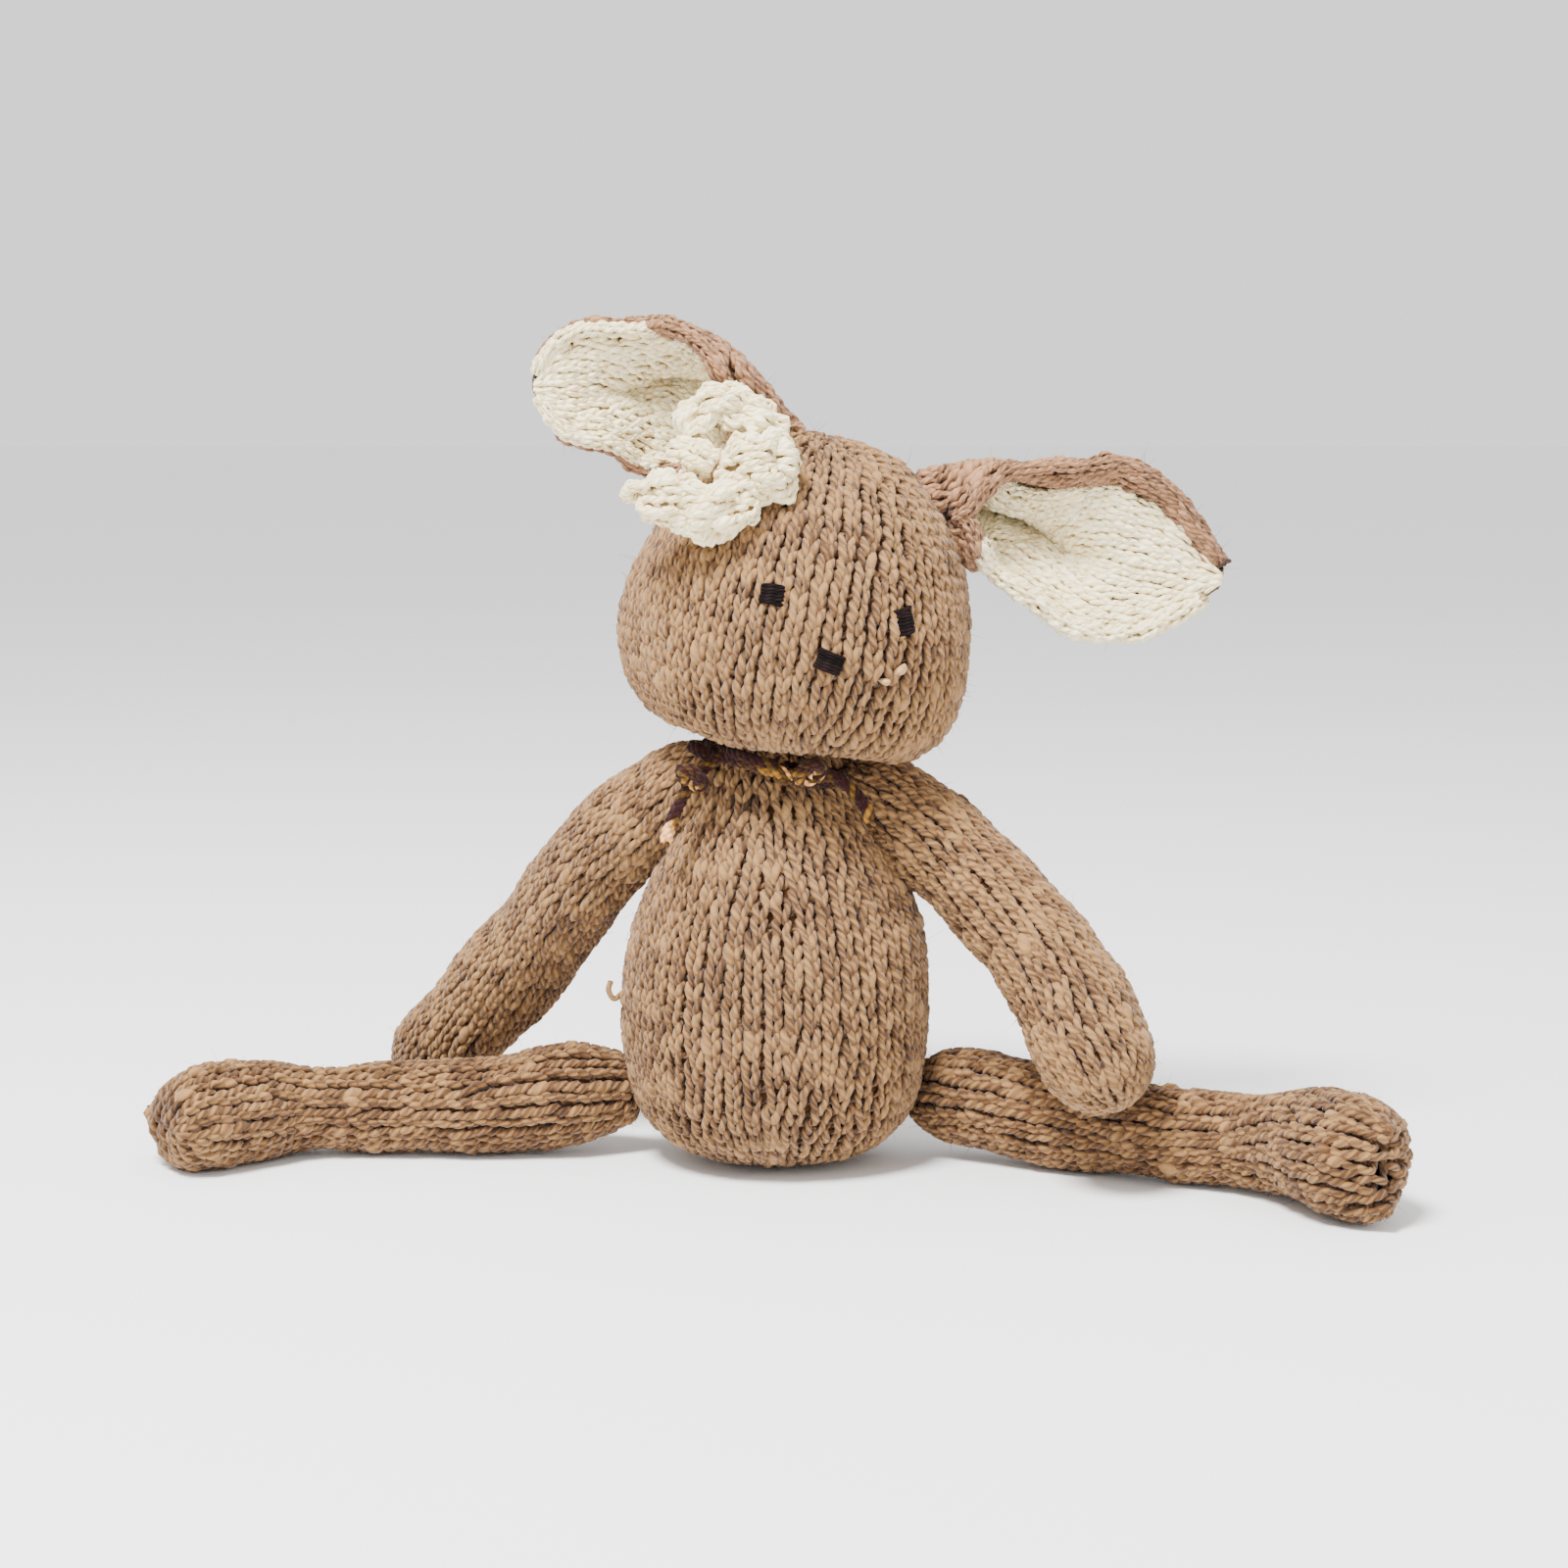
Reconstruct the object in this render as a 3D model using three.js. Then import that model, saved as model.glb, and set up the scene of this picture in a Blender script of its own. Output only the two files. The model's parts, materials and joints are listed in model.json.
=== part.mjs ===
// A hand-knitted stuffed rabbit, sitting with its legs spread, in millimetres, +Z up.
// The origin is the middle of the flat patch that the body sits on. The rabbit faces -Y, and
// "left" and "right" are the left and right of somebody who looks at its face.
// Every knitted part is a soft bag with its own filling, sewn to its neighbour at one point.

import * as THREE from "three";

// ---------- driving dimensions ----------

const FABRIC = 2.4; // thickness of the knitted fabric
const AIR = 1.2; // space between a bag and its filling
const TOUCH = 0.35; // space left between two pieces that touch

const AROUND_BODY = 20; // sides of the body and head
const AROUND_LIMB = 12; // sides of an arm or leg
const AROUND_SMALL = 8; // sides of stitches, plugs and yarn
const BODY_RINGS = 11; // rings of facets along the body, head, arms and legs
const HEAD_RINGS = 14;
const ARM_RINGS = 9;
const LEG_RINGS = 14;

// Half-width of the body at each height, from the seat to the neck.
const BODY_OUTLINE = [
  [0, 17], [4.5, 30], [14, 38.5], [32, 42], [54, 41.5], [74, 37.4], [92, 28], [104, 20], [110.5, 15],
];
const BODY_DEPTH = 0.94; // front-to-back size against the width

// The head turns about this point and leans towards +X.
const NECK = new THREE.Vector3(1, 0, 117);
const HEAD_LEAN = THREE.MathUtils.degToRad(10);
// Half-width of the head at each distance from the neck, from the neck's opening to the crown.
const HEAD_OUTLINE = [
  [6, 13.5], [3.2, 21], [1.2, 29], [4.5, 38.5], [12, 45], [24, 48], [37, 47.6], [50, 43.8],
  [61, 38], [71, 30.5], [79, 22], [83.5, 12], [85, 0],
];
const HEAD_DEPTH = 0.95;

const NECK_PLUG_RADIUS = 7.6;
const NECK_SEAM = { ring: 10.2, yarn: 0.9 };

// A limb is a tube along a route from its sewn end to its tip: half-width at each distance.
const ARM_OUTLINE = [
  [0, 5], [5, 8.5], [13, 11], [24, 13.2], [40, 14.4], [68, 14.6], [92, 15], [106, 12.5], [114, 0],
];
const LEG_OUTLINE = [
  [0, 4.5], [6, 10], [16, 12.8], [40, 13], [66, 12.2], [84, 11.6], [100, 14], [116, 16], [136, 16], [147, 11.5],
  [152, 0],
];
const PLUG_RADIUS = 3; // the gathered end of a limb, a ball at its joint
const STITCH = { ring: 4.6, yarn: 0.8 }; // the sewing yarn round a limb's joint
const LIMB_START = 3.6; // the tube starts this far from its joint's middle

const ARM_LEFT_ROUTE = [
  [-29.4, 2, 101.6], [-52, 16, 82.5], [-71.5, 33, 56], [-90, 47, 30.5], [-99.5, 52, 18],
];
const ARM_RIGHT_ROUTE = [
  [29.6, -1, 101.6], [50.5, -11, 84.8], [66, -23, 69.5], [77, -33, 54.5], [84, -41.5, 40], [87, -46, 30],
];
const LEG_LEFT_ROUTE = [
  [-45.8, 5, 19.5], [-62, 7, 19], [-87, 9, 17], [-112, 12, 14.5], [-134, 13, 13.8], [-150, 9, 15.6],
  [-156, -6, 16.4], [-156, -26, 16.4],
];
const LEG_RIGHT_ROUTE = [
  [45.8, 3, 19.5], [62, -3, 19], [86, -14, 17], [109, -24, 15], [128, -31, 14], [142, -38, 15.6], [146, -54, 16.4],
  [147, -78, 16.4],
];

// Each ear lies in an upright plane; its outline starts at the sewn base. Front sides are at y = EAR_FRONT.
const EAR_SHEET = 2.4;
const EAR_FRONT = 2;
const EAR_LEFT_PIVOT = [3, 7, 203.2];
const EAR_LEFT_OUTLINE = [
  [1, 206], [-5, 216], [-14, 226], [-29, 232.5], [-48, 232.5], [-62, 226], [-67, 217], [-64, 206], [-55, 198.5],
  [-38, 195], [-24, 196], [-14, 201], [-5, 203],
];
const EAR_RIGHT_PIVOT = [49.5, 5, 181];
const EAR_RIGHT_OUTLINE = [
  [53.5, 185], [62, 193], [74, 195.5], [89, 193.5], [104, 189.5], [115, 180], [122.5, 164], [118, 154], [106.5, 146],
  [95, 143.5], [83, 146], [73, 153], [64, 161.5], [56, 171], [53, 178],
];
const LINING_MARGIN = 0.9; // the lining's outline against the ear's, about its middle
const EAR_STITCH_RADIUS = 2.6;

// The ruffled flower lies on a plane that leans back with the head. Petals: middle x, middle y, half sizes.
const FLOWER_MIDDLE = [-14, -31.5, 190];
const FLOWER_LEAN = THREE.MathUtils.degToRad(57);
const PETAL_THICKNESS = 5;
const PETALS = {
  flower_petal_top: [0.5, 17.5, 8.4, 6],
  flower_petal_right: [11, 2, 8.6, 8.6],
  flower_petal_left_middle: [-5.5, 5.4, 5, 4.6],
  flower_petal_lower: [-2, -11.5, 9, 6.6],
  flower_petal_left: [-18.5, -5.4, 7.3, 6.4],
};
const FLOWER_KNOT_RADIUS = 1.6;
const FLOWER_KNOT = [1.4, 8.2, 1]; // its middle, in the flower's own plane

// Satin-stitched face: x and z of each patch's middle on the head, width, height and tilt.
const FACE = {
  eye_left: [0.4, 159.4, 7, 5.2, -0.12],
  eye_right: [34.2, 152.6, 6.6, 6.4, 0.25],
  nose: [15, 142.3, 6.8, 5.4, -0.3],
};
const PATCH_THICKNESS = 1;
const PATCH_LIFT = 1; // clears the curve of the head under a flat patch
const PATCH_STEP = 2; // distance each way over which the head's slope under a patch is taken

// Neck yarn: one wrap round the neck, and two tied tails that lie on the chest.
const YARN_RADIUS = 1.5;
const YARN_WRAP_RADIUS = 17.2;
const YARN_WRAP_DROP = 2.4; // below the neck's turning point
const TAIL_LEFT_ROUTE = [
  [-10.5, -18.8, 116.5], [-14.5, -20.2, 114.6], [-18.6, -21, 112], [-21.5, -21.4, 109], [-24, -22.4, 105],
  [-26, -23.6, 101], [-27.6, -24.8, 97], [-29, -26, 92.5],
];
const TAIL_RIGHT_ROUTE = [
  [1.5, -21.6, 112.4], [5.5, -22.8, 112], [10, -23.4, 111.2], [14.5, -23.8, 110.6], [18.5, -23.8, 108.4],
  [21.8, -24, 105.4], [24.4, -24.6, 102], [26, -25.4, 98.4],
];

// ---------- materials ----------

function cloth(color, roughness = 0.95) {
  return new THREE.MeshStandardMaterial({ color, roughness, metalness: 0 });
}

const tanKnit = () => cloth(0xb8936f);
const earTanKnit = () => cloth(0xc39a7c);
const creamKnit = () => cloth(0xece2c6);
const filling = () => cloth(0xf4f1ea, 1);
const darkThread = () => cloth(0x2a1818, 0.8);
const sewingYarn = () => cloth(0xa9835f);
const neckYarn = () => cloth(0x5a3a22);

// ---------- shapes ----------

function vector(point) {
  return new THREE.Vector3(...point);
}

function mesh(name, geometry, material) {
  const made = new THREE.Mesh(geometry, material);
  made.name = name;
  return made;
}

// A smooth outline through [distance, half-width] pairs, as points for a lathe.
function smoothOutline(pairs, steps) {
  const curve = new THREE.SplineCurve(pairs.map(([along, wide]) => new THREE.Vector2(wide, along)));
  return curve.getPoints(steps).map((p) => new THREE.Vector2(Math.max(p.x, 0), p.y));
}

function middleOf(points) {
  const along = points.map((p) => p.y);
  return (Math.min(...along) + Math.max(...along)) / 2;
}

// The outline drawn in by a distance: widths shrink to suit, and lengths shrink about the middle.
function drawnIn(points, distance) {
  const widest = Math.max(...points.map((p) => p.x));
  const middle = middleOf(points);
  const reach = Math.max(...points.map((p) => Math.abs(p.y - middle)));
  return points.map(
    ({ x, y }) =>
      new THREE.Vector2((x * (widest - distance)) / widest, middle + ((y - middle) * (reach - distance)) / reach),
  );
}

// A bag of fabric, open where its outline starts or ends with some width.
function bag(points, sides) {
  const inner = drawnIn(points, FABRIC).reverse();
  const startsOpen = points[0].x > 0;
  const around = startsOpen ? [...inner, ...points] : [...points, ...inner];
  return new THREE.LatheGeometry(around, sides);
}

// The filling of a bag, closed across the opening.
function bagFilling(points, sides) {
  const inner = drawnIn(points, FABRIC + AIR);
  const closed = inner.filter((p) => p.x > 0);
  const first = new THREE.Vector2(0, inner[0].y);
  const last = new THREE.Vector2(0, inner[inner.length - 1].y);
  return new THREE.LatheGeometry([first, ...closed, last], sides);
}

// Bends a lathed shape so that its axis follows a route. Beyond the route's ends it goes straight on.
function bendAlong(geometry, route) {
  const curve = new THREE.CatmullRomCurve3(route.map(vector));
  const length = curve.getLength();
  const up = new THREE.Vector3(0, 0, 1);
  const position = geometry.getAttribute("position");
  for (let i = 0; i < position.count; i += 1) {
    const along = position.getY(i) + LIMB_START;
    const share = THREE.MathUtils.clamp(along / length, 0, 1);
    const tangent = curve.getTangentAt(share);
    const side = new THREE.Vector3().crossVectors(tangent, up).normalize();
    const other = new THREE.Vector3().crossVectors(side, tangent);
    const placed = curve.getPointAt(share);
    placed.addScaledVector(tangent, along - share * length);
    placed.addScaledVector(side, position.getX(i));
    placed.addScaledVector(other, position.getZ(i));
    position.setXYZ(i, placed.x, placed.y, placed.z);
  }
  return geometry;
}

function ball(radius, place) {
  const geometry = new THREE.SphereGeometry(radius, AROUND_SMALL, AROUND_SMALL / 2 + 1);
  return geometry.translate(...place);
}

// A ring of yarn round a place, square to a direction.
function yarnRing(ringRadius, yarnRadius, place, direction, steps) {
  const geometry = new THREE.TorusGeometry(ringRadius, yarnRadius, AROUND_SMALL, steps);
  const turn = new THREE.Quaternion().setFromUnitVectors(new THREE.Vector3(0, 0, 1), direction);
  return geometry.applyQuaternion(turn).translate(...place);
}

function roundSection(radius, sides) {
  const shape = new THREE.Shape();
  for (let i = 0; i < sides; i += 1) {
    const angle = (i / sides) * 2 * Math.PI;
    const point = [radius * Math.cos(angle), radius * Math.sin(angle)];
    if (i === 0) shape.moveTo(...point);
    else shape.lineTo(...point);
  }
  shape.closePath();
  return shape;
}

function yarnAlong(route, radius, steps) {
  return new THREE.ExtrudeGeometry(roundSection(radius, AROUND_SMALL), {
    steps,
    extrudePath: new THREE.CatmullRomCurve3(route.map(vector)),
    bevelEnabled: false,
  });
}

// ---------- body and head ----------

function body(group) {
  const outline = [new THREE.Vector2(0, 0), ...smoothOutline(BODY_OUTLINE, BODY_RINGS)];
  const build = (geometry) => geometry.rotateX(Math.PI / 2).scale(1, BODY_DEPTH, 1);
  group.add(mesh("body_knit", build(bag(outline, AROUND_BODY)), tanKnit()));
  group.add(mesh("body_filling", build(bagFilling(outline, AROUND_LIMB)), filling()));
}

// The head's own frame: its origin is the neck and its axis leans with the head.
function headFrame() {
  const frame = new THREE.Group();
  frame.position.copy(NECK);
  frame.rotation.y = HEAD_LEAN;
  return frame;
}

function head(group) {
  const outline = smoothOutline(HEAD_OUTLINE, HEAD_RINGS);
  const build = (geometry) => geometry.rotateX(Math.PI / 2).scale(1, HEAD_DEPTH, 1);
  const frame = headFrame();
  frame.add(mesh("head_knit", build(bag(outline, AROUND_BODY)), tanKnit()));
  const inside = outline.filter((p) => p.y > HEAD_OUTLINE[3][0]);
  frame.add(mesh("head_filling", build(bagFilling(inside, AROUND_LIMB)), filling()));
  group.add(frame);
}

// Half-width of the head at a distance from the neck.
function headWidthAt(distance) {
  const side = HEAD_OUTLINE.slice(3);
  const upper = side.findIndex(([along]) => along > distance);
  const [a0, w0] = side[upper - 1];
  const [a1, w1] = side[upper];
  return w0 + ((w1 - w0) * (distance - a0)) / (a1 - a0);
}

// The point on the front of the head at a given x and z, in the part's frame.
function onFace(x, z) {
  const dx = x - NECK.x;
  const dz = z - NECK.z;
  const distance = dx * Math.sin(HEAD_LEAN) + dz * Math.cos(HEAD_LEAN);
  const sideways = dx * Math.cos(HEAD_LEAN) - dz * Math.sin(HEAD_LEAN);
  const depth = HEAD_DEPTH * Math.sqrt(headWidthAt(distance) ** 2 - sideways ** 2);
  return new THREE.Vector3(x, NECK.y - depth, z);
}

function facePatch(name, [x, z, wide, high, tilt]) {
  const middle = onFace(x, z);
  const across = onFace(x + PATCH_STEP, z).sub(onFace(x - PATCH_STEP, z));
  const upward = onFace(x, z + PATCH_STEP).sub(onFace(x, z - PATCH_STEP));
  const outward = new THREE.Vector3().crossVectors(across, upward).normalize();
  const geometry = new THREE.CylinderGeometry(0.5, 0.5, PATCH_THICKNESS, AROUND_SMALL);
  geometry.rotateX(Math.PI / 2).scale(wide, high, 1).rotateZ(tilt);
  geometry.applyQuaternion(new THREE.Quaternion().setFromUnitVectors(new THREE.Vector3(0, 0, 1), outward));
  const place = middle.addScaledVector(outward, PATCH_THICKNESS / 2 + PATCH_LIFT);
  return mesh(name, geometry.translate(place.x, place.y, place.z), darkThread());
}

// A ring of sewing yarn and a ball of filling, both centred on the point that the head turns about.
function neck(group) {
  const place = [NECK.x, NECK.y, NECK.z];
  const upright = new THREE.Vector3(0, 0, 1);
  group.add(mesh("neck_seam", yarnRing(NECK_SEAM.ring, NECK_SEAM.yarn, place, upright, 16), sewingYarn()));
  group.add(mesh("neck_filling", ball(NECK_PLUG_RADIUS, place), filling()));
}

// ---------- limbs ----------

function limb(group, name, outline, route, steps) {
  const points = smoothOutline(outline, steps);
  group.add(mesh(`${name}_knit`, bendAlong(bag(points, AROUND_LIMB), route), tanKnit()));
  const inside = points.filter((p) => p.y >= outline[1][0]);
  group.add(mesh(`${name}_filling`, bendAlong(bagFilling(inside, AROUND_SMALL), route), filling()));
}

// The gathered end of a limb and the sewing yarn round it, both centred on the joint.
function joint(group, name, route) {
  const place = route[0];
  const inward = vector(route[1]).sub(vector(place)).normalize();
  const [ring, yarn] = [STITCH.ring, STITCH.yarn];
  group.add(mesh(`${name}_stitches`, yarnRing(ring, yarn, place, inward, 12), sewingYarn()));
  group.add(mesh(`${name}_gather`, ball(PLUG_RADIUS, place), sewingYarn()));
}

// ---------- ears ----------

function sheet(outline, thickness, front) {
  const curve = new THREE.CatmullRomCurve3(
    outline.map(([x, z]) => new THREE.Vector3(x, z, 0)),
    true,
  );
  const around = 2 * outline.length;
  const shape = new THREE.Shape(curve.getPoints(around).slice(0, around).map((p) => new THREE.Vector2(p.x, p.y)));
  const geometry = new THREE.ExtrudeGeometry(shape, { depth: thickness, bevelEnabled: false });
  return geometry.rotateX(Math.PI / 2).translate(0, front + thickness, 0);
}

function shrunk(outline, share) {
  const x0 = outline.reduce((sum, [x]) => sum + x, 0) / outline.length;
  const z0 = outline.reduce((sum, [, z]) => sum + z, 0) / outline.length;
  return outline.map(([x, z]) => [x0 + (x - x0) * share, z0 + (z - z0) * share]);
}

function ear(group, name, outline, pivot) {
  const lining = sheet(shrunk(outline, LINING_MARGIN), EAR_SHEET, EAR_FRONT);
  const outer = sheet(outline, EAR_SHEET, EAR_FRONT + EAR_SHEET + TOUCH);
  group.add(mesh(`${name}_lining`, lining, creamKnit()));
  group.add(mesh(`${name}_outer`, outer, earTanKnit()));
  group.add(mesh(`${name}_stitches`, ball(EAR_STITCH_RADIUS, pivot), sewingYarn()));
}

// ---------- flower ----------

function petal(name, [x, y, halfWide, halfHigh]) {
  const geometry = new THREE.CylinderGeometry(1, 1, PETAL_THICKNESS, AROUND_LIMB);
  geometry.rotateX(Math.PI / 2).scale(halfWide, halfHigh, 1).translate(x, y, 0);
  return mesh(name, geometry, creamKnit());
}

function flower(group) {
  const plane = new THREE.Group();
  plane.position.set(...FLOWER_MIDDLE);
  plane.rotation.x = FLOWER_LEAN;
  for (const [name, place] of Object.entries(PETALS)) plane.add(petal(name, place));
  plane.add(mesh("flower_centre", ball(FLOWER_KNOT_RADIUS, FLOWER_KNOT), earTanKnit()));
  group.add(plane);
}

// ---------- neck yarn ----------

function neckYarnPieces(group) {
  const axis = new THREE.Vector3(Math.sin(HEAD_LEAN), 0, Math.cos(HEAD_LEAN));
  const middle = NECK.clone().addScaledVector(axis, -YARN_WRAP_DROP);
  const wrap = yarnRing(YARN_WRAP_RADIUS, YARN_RADIUS, middle.toArray(), axis, 24);
  group.add(mesh("neck_yarn_wrap", wrap, neckYarn()));
  for (const [name, route] of [["left", TAIL_LEFT_ROUTE], ["right", TAIL_RIGHT_ROUTE]]) {
    group.add(mesh(`neck_yarn_tail_${name}`, yarnAlong(route, YARN_RADIUS, 6), neckYarn()));
  }
}

// ---------- the rabbit ----------

const rabbit = new THREE.Group();
body(rabbit);
head(rabbit);
neck(rabbit);
for (const [name, place] of Object.entries(FACE)) rabbit.add(facePatch(name, place));
limb(rabbit, "arm_left", ARM_OUTLINE, ARM_LEFT_ROUTE, ARM_RINGS);
limb(rabbit, "arm_right", ARM_OUTLINE, ARM_RIGHT_ROUTE, ARM_RINGS);
limb(rabbit, "leg_left", LEG_OUTLINE, LEG_LEFT_ROUTE, LEG_RINGS);
limb(rabbit, "leg_right", LEG_OUTLINE, LEG_RIGHT_ROUTE, LEG_RINGS);
joint(rabbit, "shoulder_left", ARM_LEFT_ROUTE);
joint(rabbit, "shoulder_right", ARM_RIGHT_ROUTE);
joint(rabbit, "hip_left", LEG_LEFT_ROUTE);
joint(rabbit, "hip_right", LEG_RIGHT_ROUTE);
ear(rabbit, "ear_left", EAR_LEFT_OUTLINE, EAR_LEFT_PIVOT);
ear(rabbit, "ear_right", EAR_RIGHT_OUTLINE, EAR_RIGHT_PIVOT);
flower(rabbit);
neckYarnPieces(rabbit);

export default rabbit;
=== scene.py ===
"""A hand-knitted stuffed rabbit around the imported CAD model.

Every knitted piece is real knitting: each row is one yarn that follows the loops of stocking stitch
over the piece's stuffed shape, with thick and thin stretches. Lengths are in millimetres in the
functions below, in the CAD model's frame, and become metres where a mesh is made.
"""

import json
import math

import bpy
import numpy as np
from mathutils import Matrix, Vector


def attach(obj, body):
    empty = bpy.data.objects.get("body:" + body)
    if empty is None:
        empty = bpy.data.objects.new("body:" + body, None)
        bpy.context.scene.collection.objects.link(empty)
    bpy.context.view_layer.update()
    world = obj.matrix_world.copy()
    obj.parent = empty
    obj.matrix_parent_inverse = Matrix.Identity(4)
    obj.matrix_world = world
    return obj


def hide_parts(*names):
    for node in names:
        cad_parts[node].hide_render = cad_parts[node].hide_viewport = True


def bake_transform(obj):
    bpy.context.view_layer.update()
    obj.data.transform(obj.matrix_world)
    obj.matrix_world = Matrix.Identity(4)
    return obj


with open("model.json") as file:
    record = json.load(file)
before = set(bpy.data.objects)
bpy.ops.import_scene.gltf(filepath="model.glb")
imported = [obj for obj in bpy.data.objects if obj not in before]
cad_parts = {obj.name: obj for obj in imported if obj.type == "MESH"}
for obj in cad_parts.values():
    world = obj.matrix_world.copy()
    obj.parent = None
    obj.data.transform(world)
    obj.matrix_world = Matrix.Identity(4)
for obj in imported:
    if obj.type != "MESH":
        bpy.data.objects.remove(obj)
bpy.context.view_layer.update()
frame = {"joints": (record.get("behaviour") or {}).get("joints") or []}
JOINTS = {joint["name"]: joint for joint in frame["joints"]}

MM = 0.001  # one millimetre in metres
TURN = 2 * math.pi

# ---------- the knitting ----------

WALE = 5.0  # width of one stitch on the body and head
ROW = 3.75  # height of one row
YARN = 1.02  # half thickness of the yarn
LOOP_SWING = 1.2  # how far a loop's legs lean
LOOP_PINCH = 0.3  # how much closer the two legs of a loop are than those of its neighbours
LOOP_RISE = 0.93  # half height of a loop against the row
LOOP_DEPTH = 0.2  # how far the legs stand out and the heads sink in, against the wale
CLOTH_BACK = 2.1  # the middle of the cloth lies this far under the silhouette
FUZZ = 0.08  # loose fibres for each square millimetre
FIBRE = 0.06  # half thickness of a loose fibre
FIBRE_LENGTH = 4.0  # of the longest ones
FLOOR_PRESS = 0.2  # how high over the floor the lowest yarn is pressed flat
FLOOR_GIVE = 0.6  # how much of a yarn's depth in the cloth is left where the floor presses it
YARN_STEPS = 14  # points along one stitch
YARN_SIDES = 7
SIDE_SHADE = 0.17  # painted shade: how much darker the yarn is at its sides and inner face, and lighter on its outward face, for the light that falls round it
GRAIN = 0.06  # how much thicker the yarn is in a loop's legs than where it dives under

# Each yarn's dark, middle and light shade.
TAN = ((0.028, 0.0105, 0.0033), (0.105, 0.0445, 0.0142), (0.32, 0.172, 0.064))
EAR_TAN = ((0.05, 0.017, 0.006), (0.145, 0.064, 0.025), (0.39, 0.20, 0.10))
CREAM = ((0.40, 0.27, 0.12), (0.96, 0.77, 0.41), (1.0, 0.91, 0.62))
PALE_SLUB = ((0.24, 0.13, 0.045), (0.36, 0.21, 0.08), (0.52, 0.34, 0.15))
NEAR_BLACK = ((0.001, 0.0005, 0.0006), (0.003, 0.0013, 0.0015), (0.014, 0.006, 0.006))
# The hand-dyed yarn: near black, olive, gold and pale, each with the tone at which it is full.
TIE_DYES = [
    (0.32, (0.022, 0.0035, 0.003)), (0.60, (0.085, 0.042, 0.004)),
    (0.82, (0.34, 0.15, 0.02)), (1.0, (0.9, 0.46, 0.2)),
]
# The dark cloths inside the pieces, seen between the stitches: painted shade.
BACKING_TAN_SHADE = (0.06, 0.025, 0.0095)
BACKING_CREAM_SHADE = (0.16, 0.105, 0.05)


def smooth(points, count):
    """A smooth curve through the points, as many points as asked."""
    p = np.asarray(points, float)
    p = np.vstack([2 * p[0] - p[1], p, 2 * p[-1] - p[-2]])
    at = np.linspace(0, len(p) - 3, count)
    i = np.minimum(at.astype(int), len(p) - 4)
    t = (at - i)[:, None]
    a, b, c, d = p[i], p[i + 1], p[i + 2], p[i + 3]
    return 0.5 * (2 * b + (c - a) * t + (2 * a - 5 * b + 4 * c - d) * t**2 + (3 * b - a - 3 * c + d) * t**3)


def unit(v):
    return v / np.maximum(np.linalg.norm(v, axis=-1, keepdims=True), 1e-9)


def run_length(points):
    steps = np.linalg.norm(np.diff(points, axis=0), axis=1)
    return np.concatenate([[0], np.cumsum(steps)])


def read(at, where, table):
    """The rows of a table, read between its places."""
    return np.stack([np.interp(at, where, table[:, k]) for k in range(table.shape[1])], axis=-1)


def wobble(points, length, rng, waves=7):
    """A smooth random value near each point, about -1 to 1, that changes over the given length."""
    total = np.zeros(points.shape[:-1])
    for _ in range(waves):
        direction = unit(rng.normal(size=3)) * TURN / (length * rng.uniform(0.7, 1.5))
        total += np.sin(points @ direction + rng.uniform(0, TURN))
    return total / math.sqrt(waves)


def random_run(at, spacing, rng):
    """A smooth random value along a line, with one random value each spacing."""
    count = int(at[-1] / spacing) + 3
    return np.interp(at / spacing, np.arange(count), rng.normal(size=count))


class Surface:
    """A surface that knitting lies on. turn runs across a row, from 0 to 1, and down runs from row to row."""

    closed = True
    sign = 1

    def place(self, turn, down, lift):
        """(points, outward directions) at places on the surface, lifted off it."""
        down = np.clip(down, 0.4, self.length - 0.4)
        here = self.bare(turn, down)
        ahead = self.bare(turn, np.minimum(down + 0.3, self.length)) - self.bare(turn, down - 0.3)
        around = self.bare(turn + 0.004, down) - self.bare(turn - 0.004, down)
        normal = unit(np.cross(around, ahead)) * self.sign
        rise = lift + self.lump * wobble(here, self.lump_length, np.random.default_rng(self.seed))
        placed = here + normal * np.asarray(rise)[..., None]
        pressed = FLOOR_PRESS - FLOOR_GIVE * np.asarray(lift)
        placed[..., 2] = np.maximum(placed[..., 2], pressed)
        return placed, normal


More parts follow.
